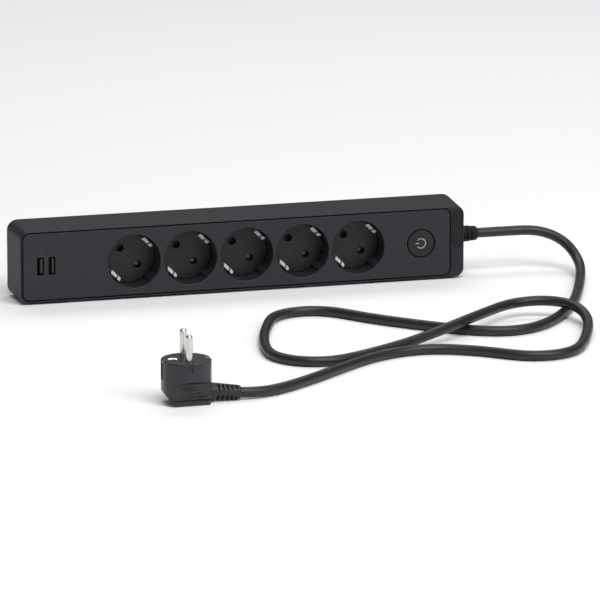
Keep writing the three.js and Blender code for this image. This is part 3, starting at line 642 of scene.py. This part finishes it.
def outer_housing():
    """A box open at the back, with a window for the panel and a ledge behind it."""
    front_edge, back_edge, mouth = 1.1, 0.5, 0.3
    rings = [housing_ring(FRONT_Y + depth, inset) for inset, depth in quarter(front_edge)]
    rings += [housing_ring(BACK_Y - depth, inset) for inset, depth in reversed(quarter(back_edge))]
    shell = loft("housing_shell", rings)
    opening = PANEL_RIGHT + GROOVE
    well = [panel_ring(FRONT_Y - 1, RIM - mouth, opening + mouth)]
    well += [panel_ring(FRONT_Y + depth, RIM - inset, opening + inset) for inset, depth in quarter(mouth)]
    well.append(panel_ring(PANEL_BACK + 0.3, RIM, opening))
    ledge = RIM + GROOVE + 1.4
    cover_front = limits("rear_cover")[1][1] - 1.5
    cavity = PANEL_BACK + 2.8
    cut(
        shell,
        loft("opening", well),
        loft("ledge", [panel_ring(y, ledge, PANEL_RIGHT - 1.4) for y in (PANEL_BACK, cavity + 1)]),
        housing_core("cavity", (cavity, BACK_Y + 1), WALL),
        housing_core("seat", (cover_front, BACK_Y + 1), RIM),
        turned("outlet", [(0, 160), (5.4, 160), (5.4, 180), (0, 180)], (OUTLET_Y, OUTLET_Z), "x", 48),
        badge_solid("pocket", 0.3, (FRONT_Y - 1, FRONT_Y + 0.9)),
    )
    join(shell, *[housing_boss(*place) for place in screw_places()])
    pilot = [(0, 6), (1.6, 6), (1.6, 16), (0, 16)]
    cut(shell, *[turned("pilot", pilot, place, "y", 20) for place in screw_places()])
    finish_piece(shell, "housing", ["outer_housing"])


def mouth_cutter(name, centre, radius, lip, deep, sides=128):
    """Cuts a round hole along Y from the front face, its rim rounded over."""
    profile = [(0, FRONT_Y - 2), (radius + lip, FRONT_Y - 2)]
    profile += [(radius + inset, FRONT_Y + depth) for inset, depth in quarter(lip)]
    return turned(name, [*profile, (radius, deep), (0, deep)], centre, "y", sides)


def port_window(side):
    """A window that overlaps the port's shell, and the seat behind it that takes the shell."""
    x, _, z = PORTS[side]
    width, height, centre = x[1] - x[0], z[1] - z[0], (middle(x), middle(z))
    lip, overlap, room, skin = 0.15, 0.4, 0.3, 0.5
    window = []
    for out, y in ((lip, FRONT_Y - 1), (lip, FRONT_Y), (0, FRONT_Y + lip), (0, PANEL_BACK + 1)):
        size = (width - 2 * overlap + 2 * out, height - 2 * overlap + 2 * out)
        window.append(at_depth(y, round_rect(*size, 0.5 + out, centre, 5)))
    seat = round_rect(width + 2 * room, height + 2 * room, 0.7, centre, 5)
    return [loft(f"window_{side}", window), prism(f"seat_{side}", seat, (FRONT_Y + skin, PANEL_BACK + 1))]


def front_panel():
    """The face plate and its five wells, as one moulding."""
    inset = RIM + GROOVE
    rings = [panel_ring(FRONT_Y + depth, inset + back, PANEL_RIGHT - back) for back, depth in quarter(0.35)]
    plate = loft("face_plate", [*rings, panel_ring(PANEL_BACK, inset, PANEL_RIGHT)])
    well_back = limits("socket_well_1")[1][1]
    front, outer = PANEL_BACK - 0.8, WELL_R + 1.2
    tube_profile = [(0, front), (outer, front), (outer, well_back), (0, well_back)]
    join(plate, *[turned("well", tube_profile, (SOCKET_X[n], MID_Z), "y", 128) for n in SOCKETS])
    holes = [mouth_cutter("bore", (SOCKET_X[n], MID_Z), WELL_R, WELL_LIP, well_back + 1) for n in SOCKETS]
    holes.append(mouth_cutter("button_hole", BUTTON_AT, BUTTON_HOLE_R, 0.15, PANEL_BACK + 1, 96))
    for side in PORTS:
        holes += port_window(side)
    cut(plate, *holes)
    for n in SOCKETS:
        join(plate, *[guide_rib(SOCKET_X[n], PIN_TILT + turn) for turn in (0, math.pi)])
    nodes = ["front_panel", *[f"socket_well_{n}" for n in SOCKETS]]
    finish_piece(plate, "panel", nodes)


def radial(obj, x, angle):
    """Turns a body made about the Y axis, and moves it to a socket's axis."""
    obj.data.transform(Matrix.Translation((x, 0, MID_Z)) @ Matrix.Rotation(-angle, 4, "Y"))
    return obj


def guide_rib(x, angle):
    """A key on the well's wall, which fits the groove in a plug's side. It leans back towards the mouth."""
    half, outer = 2.8, WELL_R + 0.3
    rings = []
    for inner, y in ((19.75, FRONT_Y + 0.9), (19.4, FRONT_Y + 1.6), (17.9, FLOOR_Y - 0.05)):
        corners = [(outer, -half), (inner, -half), (inner, half), (outer, half)]
        rings.append(at_depth(y, softened(corners, [0, 0.3, 0.3, 0], 4, closed=True)))
    return radial(loft("rib", rings), x, angle)


def badge_solid(name, grow, span, edge=0.0):
    """A body with the badge's outline, grown by grow. Its front edge is rounded where edge is given."""
    x, _, z = limits("badge")
    width, height = x[1] - x[0] + 2 * grow, z[1] - z[0] + 2 * grow
    rings = []
    levels = [(inset, span[0] + depth) for inset, depth in quarter(edge)] if edge else [(0, span[0])]
    for inset, y in [*levels, (0, span[1])]:
        size = (width - 2 * inset, height - 2 * inset)
        rings.append(at_depth(y, round_rect(*size, size[0] / 2 - 0.001, (middle(x), middle(z)), 16)))
    return loft(name, rings)


def badge():
    plate = badge_solid("badge_plate", 0, (FRONT_Y + 0.1, FRONT_Y + 0.6), 0.2)
    finish_piece(plate, "badge", ["badge"])


def screw_cup(place, cup_front, front):
    """A cup that brings the cover down to the boss."""
    profile = [(0, cup_front), (4, cup_front), (4, front + 0.1), (0, front + 0.1)]
    return turned("cup", profile, place, "y", 48)


def screw_bore(place, front):
    """A stepped bore for a screw's shank and head, its mouth rounded over."""
    shank, head = 1.7, 3.1
    profile = [(0, front - 4), (shank, front - 4), (shank, front - 1), (head, front - 1)]
    profile += [(head + back, BACK_Y - depth) for back, depth in reversed(quarter(0.35, 3))]
    return turned("bore", [*profile, (head + 0.35, BACK_Y + 1), (0, BACK_Y + 1)], place, "y", 48)


def keyhole(x, front):
    """A round head and a narrower slot above it."""
    head = [(0, front - 1), (4.2, front - 1), (4.2, BACK_Y + 1), (0, BACK_Y + 1)]
    neck = softened([(-1.9, 0), (1.9, 0), (1.9, 10), (-1.9, 10)], [0, 0, 1.85, 1.85], 8, closed=True)
    return [
        turned("key_head", head, (x, MID_Z), "y", 48),
        prism("key_neck", [(x + u, MID_Z + v) for u, v in neck], (front - 1, BACK_Y + 1)),
    ]


def rear_cover():
    """A plate with six screw cups, two keyholes and a shallow framed field."""
    cup_front = limits("rear_cover")[1][0]
    front = BACK_Y - 1.2
    edge = 0.3
    inset = RIM + 0.3
    rings = [housing_ring(front, inset), housing_ring(BACK_Y - edge, inset)]
    rings += [housing_ring(BACK_Y - depth, inset + back) for back, depth in reversed(quarter(edge, 3))]
    plate = loft("back_cover", rings)
    join(plate, *[screw_cup(place, cup_front, front) for place in screw_places()])
    bores = [screw_bore(place, front) for place in screw_places()]
    for x in KEYHOLE_X:
        bores += keyhole(x, front)
    field = [housing_ring(BACK_Y - 0.35, 9.0), housing_ring(BACK_Y + 1, 8.6)]
    cut(plate, *bores)
    cut(plate, loft("field", field))
    finish_piece(plate, "housing", ["rear_cover"])


def cross_arm(top):
    """One arm of a cross recess, wider at the head's face than at its bottom."""
    wide, narrow, thick = 1.55, 0.75, 0.3
    rings = []
    for half, along in ((narrow, top - 0.9), (wide, top + 0.1), (wide, top + 0.5)):
        corners = [(-half, -thick), (half, -thick), (half, thick), (-half, thick)]
        rings.append(at_depth(along, corners))
    return loft("arm", rings)


def case_screw(n):
    """A pan-head screw: domed head with a tapering cross recess, and a ridged shank."""
    x, y, z = limits(f"case_screw_{n}")
    tip, top = y
    place = (middle(x), middle(z))
    crest, root, ridges = 1.3, 1.02, 9
    head = softened([(0, top), (2.7, top), (2.7, top - 1.3), (crest, top - 1.3)], [0, 0.9, 0.15, 0], 5)
    start, end = top - 1.5, tip + 0.6
    thread = []
    for k in range(ridges * 2 + 1):
        along = start - (start - end) * k / (ridges * 2)
        thread.append((crest if k % 2 == 0 else root, along))
    screw = turned(f"screw_{n}", [*head, *thread, (0, tip)], place, "y", 40)
    stand = Matrix.Translation((place[0], 0, place[1]))
    spin = 0.4 * n
    arms = []
    for turn in (0, math.pi / 2):
        arm = cross_arm(top)
        arm.data.transform(stand @ Matrix.Rotation(turn + spin, 4, "Y"))
        arms.append(arm)
    cut(screw, *arms)
    finish_piece(screw, "steel", [f"case_screw_{n}"], 40)


# ---- Sockets ----
def pin_place(x, turn):
    return (x + PIN_REACH * math.cos(turn), MID_Z + PIN_REACH * math.sin(turn))


def pin_hole(x, turn):
    lip = 0.45
    beyond = FLOOR_BACK + 1
    profile = [(0, FLOOR_Y - 1), (PIN_HOLE_R + lip, FLOOR_Y - 1)]
    profile += [(PIN_HOLE_R + back, FLOOR_Y + depth) for back, depth in quarter(lip)]
    return turned("pin_hole", [*profile, (PIN_HOLE_R, beyond), (0, beyond)], pin_place(x, turn), "y", 64)


def earth_slot(x, turn):
    inner, outer, half = 16.9, 18.5, EARTH_HALF + 0.4
    outline = softened([(inner, -half), (outer, -half), (outer, half), (inner, half)], 0.3, 3, closed=True)
    return radial(prism("slot", outline, (FLOOR_Y - 1, FLOOR_BACK + 1)), x, turn)


def socket_floor(n):
    """The recess's floor, on a post that the shutter turns about."""
    x = SOCKET_X[n]
    radius, back_face = WELL_R - 0.35, FLOOR_BACK - 1.65
    face = [(radius - back, FLOOR_Y + depth) for back, depth in quarter(0.3, 3)]
    profile = [(0, FLOOR_Y), *face, (radius, back_face), (0, back_face)]
    disc = turned(f"socket_floor_{n}", profile, (x, MID_Z))
    post = [(0, FLOOR_BACK - 2.5), (2.2, FLOOR_BACK - 2.5), (2.2, FLOOR_BACK), (0, FLOOR_BACK)]
    join(disc, turned("post", post, (x, MID_Z), "y", 32))
    tools = []
    for turn in (0, math.pi):
        tools += [pin_hole(x, PIN_TILT + turn), earth_slot(x, EARTH_ANGLE + turn)]
    cut(disc, *tools)
    finish_piece(disc, "insert", [f"socket_insert_{n}"])


def bent_strip(name, line, across, thickness):
    """A bent metal strip: a line of (radial, y) points, thickened to one side, and its span across."""
    rings = []
    for i, point in enumerate(line):
        before, after = Vector(line[max(i - 1, 0)]), Vector(line[min(i + 1, len(line) - 1)])
        along = (after - before).normalized()
        u, y = point[0] - along[1] * thickness, point[1] + along[0] * thickness
        low, high = across
        rings.append([(*point, low), (u, y, low), (u, y, high), (*point, high)])
    return round_edges(loft(name, rings), 0.14, 2, 50)


def earth_clip(n):
    """A sprung strap behind the floor, slit at each end into a wide and a narrow finger."""
    _, y, _ = limits(f"earth_contact_{n}")
    root, bend = 17.75, -7
    strap = (y[1] - EARTH_SHEET, y[1])
    clip = block(f"earth_clip_{n}", (-17.6, 17.6), strap, (-EARTH_HALF, EARTH_HALF))
    corners = [(root, y[1] - 0.1), (root, -2.6), (15.7, -8.6), (16.0, -9.9), (17.9, y[0] + 0.1)]
    path = softened(corners, [0, 2, 0.8, 0.9, 0], 4)
    wide, narrow = (-0.5, EARTH_HALF), (-EARTH_HALF, -2.1)
    fingers = []
    for side in (1, -1):
        for across, shorter in ((wide, 0), (narrow, 0.9)):
            line = [(u * side, v if v > bend else v + shorter) for u, v in path]
            fingers.append(bent_strip("finger", line, across, EARTH_SHEET * side))
    join(clip, *fingers)
    radial(clip, SOCKET_X[n], EARTH_ANGLE)
    finish_piece(clip, "clip", [f"earth_contact_{n}"], 40)


def shutter_stud(n):
    """The pale stud on a shutter's lower wing, seen down the pin hole."""
    radius = 1.35
    wing = limits(f"shutter_{n}")[1][0]
    front, back = wing - 0.2, wing + 0.1
    profile = softened([(0, front), (radius, front), (radius, back), (0, back)], [0, 0.1, 0, 0], 3)
    place = pin_place(SOCKET_X[n], PIN_TILT + math.pi)
    stud = turned(f"shutter_stud_{n}", profile, place, "y", 32)
    finish_piece(stud, "stud", [], body=f"shutter_body_{n}")


# ---- Push switch ----
def sign_solids(grow, span):
    """A broken ring and the bar in its gap. grow widens every line."""
    outer, inner, gap = 3.8 + grow, 3.28 - grow, 0.75 - grow / 4
    steps = 48
    angles = [math.pi + gap + (FULL_TURN - 2 * gap) * k / steps for k in range(steps + 1)]
    arc = [(outer * math.cos(a), outer * math.sin(a)) for a in angles]
    arc += [(inner * math.cos(a), inner * math.sin(a)) for a in reversed(angles)]
    arc = [(BUTTON_X + u, BUTTON_Z + v) for u, v in arc]
    bar = round_rect(2.8 + 2 * grow, 0.55 + 2 * grow, 0.2, (BUTTON_X - 2.8, BUTTON_Z), 4)
    return [prism("sign_ring", arc, span), prism("sign_bar", bar, span)]


def power_button():
    """A dished cap with a flange behind the panel, and a stem that works the switch arm."""
    front, end = limits("power_button")[1]
    dish, flange_r, stem_r, tip_r = 0.25, 12, 2.6, 1
    cap = [(0, front + dish), (4.5, front + dish * 0.9), (8.2, front + 0.05)]
    cap += [(BUTTON_CAP_R - back, front + depth) for back, depth in quarter(0.3, 5)]
    flange, flange_back, shoulder = PANEL_BACK + 0.3, PANEL_BACK + 1.5, end - 1.5
    body = [(BUTTON_CAP_R, flange), (flange_r, flange), (flange_r, flange_back), (stem_r, flange_back)]
    tip = [(stem_r, shoulder), (tip_r, shoulder), (tip_r, end), (0, end)]
    button = turned("button_cap", [*cap, *body, *tip], BUTTON_AT, "y", 128)
    guide_back = limits("light_guide")[1][1]
    guide_front = guide_back - GUIDE_DISC
    near, far = guide_front - 0.3, guide_back + 0.3
    recess = turned("recess", [(0, near), (5.1, near), (5.1, far), (0, far)], BUTTON_AT, "y", 64)
    cut(button, *sign_solids(0.12, (front - 1, guide_front)), recess)
    finish_piece(button, "button", ["power_button"], body="button")


def button_sign():
    """The lit sign, standing up through the cap from a disc behind its skin."""
    radius = 4.8
    tip, back = limits("light_guide")[1]
    front = back - GUIDE_DISC
    profile = [(0, front), (radius, front), (radius, back), (0, back)]
    sign = turned("button_sign", profile, BUTTON_AT, "y", 64)
    join(sign, *sign_solids(0, (tip + 0.22, front + 0.2)))
    finish_piece(sign, "sign", ["light_guide"], body="button")


def return_spring():
    """The button's coil spring, at rest, over the length of the CAD spring."""
    _, y, _ = limits("button_spring")
    radius, wire, turns, steps = 5.4, 0.35, 3.5, 112
    line = []
    for k in range(steps + 1):
        angle = FULL_TURN * turns * k / steps
        across, up = radius * math.cos(angle), radius * math.sin(angle)
        along = y[0] + wire + (y[1] - y[0] - 2 * wire) * k / steps
        line.append(Vector(on_axis("y", BUTTON_AT, across, up, along)))
    spring = tube("return_spring", line, wire, 12)
    finish_piece(spring, "steel", ["button_spring"], 60)
    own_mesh(spring)


# ---- Charging ports ----
def port_shell(side):
    """A folded metal shell with a flared mouth and two slots in each broad wall."""
    x, y, z = PORTS[side]
    centre = (middle(x), middle(z))
    size = (x[1] - x[0], z[1] - z[0])
    shell = prism(f"port_shell_{side}", round_rect(*size, 0.6, centre, 5), y)
    mouth = 0.15
    inner = []
    for flare, along in ((mouth, y[0] - 0.5), (mouth, y[0]), (0, y[0] + 0.4), (0, y[1] + 0.5)):
        sizes = [length - 2 * SHELL_SHEET + 2 * flare for length in size]
        inner.append(at_depth(along, round_rect(*sizes, 0.4, centre, 5)))
    cut(shell, loft("bore", inner))
    slots = []
    for edge in x:
        for level in (centre[1] - 3.2, centre[1] + 3.2):
            span = (edge - 0.6, edge + 0.6)
            slots.append(block("slot", span, (y[0] + 3, y[0] + 8.5), (level - 1.1, level + 1.1)))
    cut(shell, *slots)
    finish_piece(shell, "nickel", [f"usb_shell_{side}"])


def port_tongue(side):
    """An insulating tongue with four gold contacts, each sunk in its own groove."""
    x, y, z = limits(f"usb_tongue_{side}")
    face, tip, pitch = x[0], y[0], 2.4
    tongue = block(f"port_tongue_{side}", x, y, z)
    round_edges(tongue, 0.2, 2)
    levels = [middle(z) + (k - 1.5) * pitch for k in range(4)]
    across, along = (face - 0.5, face + 0.25), (tip + 0.6, tip + 9)
    cut(tongue, *[block("groove", across, along, (level - 0.6, level + 0.6)) for level in levels])
    finish_piece(tongue, "tongue", [f"usb_tongue_{side}"])
    across, along = (face + 0.05, face + 0.22), (tip + 0.8, tip + 8.8)
    for number, level in enumerate(levels, 1):
        contact = block(f"port_contact_{side}_{number}", across, along, (level - 0.45, level + 0.45))
        finish_piece(contact, "gold", [])


# ---- Cable outlet ----
def cable_gland():
    """A collar behind the housing's wall, three beads, and a nose with a bore for the lead."""
    start, end = limits("cable_gland")[0]
    neck = 7
    inside = [(0, start), (7, start), (7, start + 3.6), (5, start + 3.6), (5, start + neck)]
    beads = []
    for k, radius in enumerate((6.3, 6.2, 6.0)):
        left, valley = start + neck + 3.3 * k, radius - 1.1
        beads += [(radius, left), (radius, left + 2.15), (valley, left + 2.45), (valley, left + 3.05)]
    bore = [(LEAD_BORE_R, end), (LEAD_BORE_R, end - LEAD_BORE), (0, end - LEAD_BORE)]
    nose = [(5.6, end - 4.6), (5.4, end - 1.2), (4.7, end), *bore]
    rounding = [0, 0.4, 0.4, 0.2, 0] + [0.5, 0.5, 0.2, 0.2] * 3 + [0.5, 0.6, 0.3, 0.1, 0, 0]
    profile = softened([*inside, *beads, *nose], rounding, 4)
    gland = turned("outlet_gland", profile, (OUTLET_Y, OUTLET_Z), "x", 72)
    return finish_piece(gland, "gland", ["cable_gland"])


# ---- Plug, in its own frame: pins up, strain relief along +X ----
def to_plug(obj):
    obj.data.transform(Matrix.Translation((PLUG_X, PLUG_Y, 0)) @ Matrix.Rotation(PLUG_TURN, 4, "Z"))
    return obj


def plug_piece(obj, look, nodes, sharp=32):
    return finish_piece(to_plug(obj), look, nodes, sharp)


def boot_matrix():
    """Stands the strain relief on its own axis, which falls away from the plug."""
    drop = math.atan2(BOOT_ROOT_Z - BOOT_END_Z, BOOT_END - PLUG_R)
    stand = Matrix.Translation((BOOT_END, 0, BOOT_END_Z)) @ Matrix.Rotation(drop, 4, "Y")
    return stand @ Matrix.Translation((-BOOT_END, 0, 0))


def flank_cutter(sign):
    """Cuts one flank to a leaning grip, narrower towards the strain relief, with a lip below it."""
    far, shoulder_rise = 25, 0.53
    rings = []
    for x in (-20, 30):
        grip, lip = GRIP_HALF - GRIP_TAPER * x, LIP_HALF - LIP_TAPER * x
        corners = [
            (grip, FLANK_TOP), (grip - FLANK_LEAN, FLANK_FOOT), (lip, 3.2), (lip, 1.2), (lip - 1.2, 0),
            (lip - 1.2, -1), (far, -1), (far, FLANK_TOP + shoulder_rise * (far - grip)),
        ]
        outline = softened(corners, [1.6, 1.2, 0.5, 0.7, 0.7, 0, 0, 0], 5, closed=True)
        rings.append([(x, v * sign, z) for v, z in outline])
    return triangulated(loft("flank", rings))


def grip_groove(sign, left, right, level):
    """A half-round groove along a flank, with rounded ends. It is sunk a hair below the surface."""
    middle_x = (left + right) / 2
    half, radius, sunk = (right - left) / 2, 0.6, 0.07
    lean_share = (FLANK_TOP - level) / (FLANK_TOP - FLANK_FOOT)
    surface = GRIP_HALF - sunk - GRIP_TAPER * middle_x - FLANK_LEAN * lean_share
    corners = [(0, -half), (radius, radius - half), (radius, half - radius), (0, half)]
    groove = turned("groove", softened(corners, [0, 0.5, 0.5, 0], 3), (0, 0), "x", 24)
    lean = Matrix.Rotation(-math.atan(GRIP_TAPER) * sign, 4, "Z")
    groove.data.transform(Matrix.Translation((middle_x, surface * sign, level)) @ lean)
    return groove


def side_notch(sign):
    """A groove down the plug's side, for the key in a socket's wall."""
    top, radius = PLUG_TOP, 1.6
    corners = [(0, top - 6.6), (0.9, top - 6.3), (radius, top - 4), (radius, top + 1), (0, top + 1)]
    return turned("notch", softened(corners, [0, 0.7, 2, 0, 0], 4), (0, 18.1 * sign), "z", 48)


def pin_seat(sign):
    top, radius, lip = PLUG_TOP, PIN_R + 0.3, 0.3
    bore = [(0, top - 7), (radius, top - 7), (radius, top - lip)]
    mouth = [(radius + lip, top), (radius + lip, top + 1), (0, top + 1)]
    return turned("pin_hole", [*bore, *mouth], (0, PIN_REACH * sign), "z", 48)


def strip_pocket(sign):
    near, far = sorted((15.2 * sign, 19 * sign))
    half = STRIP_HALF + 0.4
    return block("clip_pocket", (near, far), (-half, half), (PLUG_TOP - 14, PLUG_TOP + 1))


def plug_blank():
    """The plug's round body, cut to its side outline and to its two flanks."""
    face = [(PLUG_R - back, PLUG_TOP - depth) for back, depth in quarter(0.8, 5)]
    profile = [(0, -1), (PLUG_R, -1), *reversed(face), (0, PLUG_TOP)]
    body = turned("plug_shell", profile, (0, 0), "z", 144)
    corners = [
        (-18.6, 40), (-18.6, 14), (-16.6, 8.9), (-14.2, 5.1), (-10.8, 1.9), (-8.6, 0.5), (-6.4, 0),
        (15.8, 0), (18.4, 2.6), (18.4, 40),
    ]
    side = softened(corners, [0, 6, 9, 9, 6, 4, 4, 1.4, 1.4, 0], 6, closed=True)
    combine(body, "INTERSECT", [prism("side", side, (-20, 20))])
    return cut(body, flank_cutter(1), flank_cutter(-1))


def plug_body():
    """The moulded body, with finger grooves, side notches and seats for all that it holds."""
    body = plug_blank()
    tools = []
    for sign in (1, -1):
        for left, right, level in ((-7.6, 3.5, 13.4), (-5.3, 6.1, 11.4), (-3.5, 8.0, 8.6)):
            tools.append(grip_groove(sign, left, right, level))
        tools.append(side_notch(sign))
    cut(body, *tools)
    round_edges(body, 0.3, 3, 34)
    top, half = PLUG_TOP, STRIP_HALF + 0.4
    tools = [make(sign) for sign in (1, -1) for make in (pin_seat, strip_pocket)]
    tools.append(block("tab_pocket", (13, 16), (-half, half), (top - 1.2, top + 1)))
    sleeve = [(0, top - 12.3), (4.7, top - 12.3), (4.7, top + 1), (0, top + 1)]
    tools.append(turned("sleeve_pocket", sleeve, (SLEEVE_X, 0), "z", 64))
    start, hole_r = BOOT_START - 0.3, 6.6
    boot_hole = turned("boot_hole", [(0, start), (hole_r, start), (hole_r, 20), (0, 20)], (0, 0), "x", 64)
    boot_hole.data.transform(boot_matrix())
    cut(body, *tools, boot_hole)
    return plug_piece(body, "plug", ["plug_body"])


def plug_pins():
    pins = []
    tip = limits("plug_pin_live")[2][1]
    base = PLUG_TOP - 6.7
    corners = [(0, base), (PIN_R, base), (PIN_R, tip - 1.6), (1.3, tip), (0, tip)]
    profile = softened(corners, [0, 0, 1.4, 1.2, 0], 6)
    for name, sign in (("live", 1), ("neutral", -1)):
        pin = turned(f"pin_{name}", profile, (0, PIN_REACH * sign), "z", 48)
        pins.append(plug_piece(pin, "nickel", [f"plug_pin_{name}"], 50))
    return pins


def earth_sleeve():
    """The cup beside the pins that takes a socket's earth pin."""
    top, low = PLUG_TOP, PLUG_TOP - 12
    outer, inner = 4.4, 2.5
    corners = [(0, low), (outer, low), (outer, top), (inner, top - 0.9), (inner, low + 1), (0, low + 1)]
    profile = softened(corners, [0, 0, 0.3, 0.5, 0, 0], 4)
    sleeve = turned("earth_sleeve", profile, (SLEEVE_X, 0), "z", 64)
    return plug_piece(sleeve, "nickel", ["plug_earth_sleeve"])


def earth_strip(name, sign):
    """A sprung strip in the plug's side, its top rim bowed out. The cable side's has a tab on the face."""
    inner, outer = 15.5, 16.2
    foot, top = PLUG_TOP - 13.6, PLUG_TOP - 0.1
    across = (-STRIP_HALF, STRIP_HALF)
    strip = block(f"earth_strip_{name}", sorted((inner * sign, outer * sign)), across, (foot, top))
    corners = [(15.7, PLUG_TOP - 3.4), (16.7, PLUG_TOP - 2.4), (16.7, PLUG_TOP - 1), (15.7, top)]
    rim = softened(corners, 0.4, 3, closed=True)
    parts = [loft("rim", [[(u * sign, v, z) for u, z in rim] for v in across])]
    if sign > 0:
        parts.append(block("tab", (13.4, outer), across, (PLUG_TOP - 0.8, top)))
    join(strip, *parts)
    round_edges(strip, 0.2, 2, 35)
    return plug_piece(strip, "nickel", [f"plug_earth_{name}"], 40)


def boot_slot(along, centre):
    """A slot across the strain relief, round part of its turn."""
    inner, outer, half, width, steps = 3.95, 8.0, math.radians(31), 1.6, 8
    angles = [centre + half * (2 * i / steps - 1) for i in range(steps + 1)]
    wedge = [(outer * math.cos(a), outer * math.sin(a)) for a in angles]
    wedge += [(inner * math.cos(a), inner * math.sin(a)) for a in reversed(angles)]
    return prism("slot", wedge, (along, along + width), "x")


def plug_boot():
    """A tapered sleeve, cut by two rows of slots on each side so that it bends."""
    start, end = BOOT_START, BOOT_END
    first, pitch = 5.6, 3.25
    corners = [
        (0, start), (6.3, start), (6.1, start + 4.2), (5.05, end - 1.2), (4.5, end), (LEAD_BORE_R, end),
        (LEAD_BORE_R, end - LEAD_BORE), (0, end - LEAD_BORE),
    ]
    profile = softened(corners, [0, 0.3, 2, 0.8, 0.4, 0.1, 0, 0], 4)
    boot = turned("plug_strain_relief", profile, (0, 0), "x", 72)
    slots = []
    for k in range(5):
        for degrees in (45, 135, 225, 315):
            slots.append(boot_slot(start + first + pitch * k, math.radians(degrees)))
    cut(boot, *slots)
    round_edges(boot, 0.14, 2, 40)
    boot.data.transform(boot_matrix())
    return plug_piece(boot, "boot", ["plug_boot"])


# ---- CAD nodes that stay ----
KEPT = {
    "shutter": [f"shutter_{n}" for n in SOCKETS],
    "brass": ["live_busbar", "neutral_busbar", "earth_rail", "switch_arm"],
    "switch": ["switch_body", "usb_capacitor"],
    "board": ["usb_board"],
    "tape": ["usb_transformer"],
    "brown": ["live_wire", "switched_live_wire"],
    "blue": ["neutral_wire"],
    "earth": ["earth_wire"],
}


def dress_kept_nodes():
    """Gives the CAD nodes that keep their shape their materials."""
    for look, names in KEPT.items():
        for name in names:
            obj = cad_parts[name]
            obj.data.materials.clear()
            obj.data.materials.append(LOOKS[look])


add_camera()
add_stage()
gland = cable_gland()
plug_pieces = [
    plug_body(), *plug_pins(), earth_sleeve(), earth_strip("cable_side", 1), earth_strip("far_side", -1),
    plug_boot(),
]
lead()
outer_housing()
front_panel()
badge()
rear_cover()
for number in SCREWS:
    case_screw(number)
for number in SOCKETS:
    socket_floor(number)
    earth_clip(number)
    shutter_stud(number)
power_button()
button_sign()
return_spring()
for port_side in PORTS:
    port_shell(port_side)
    port_tongue(port_side)
dress_kept_nodes()
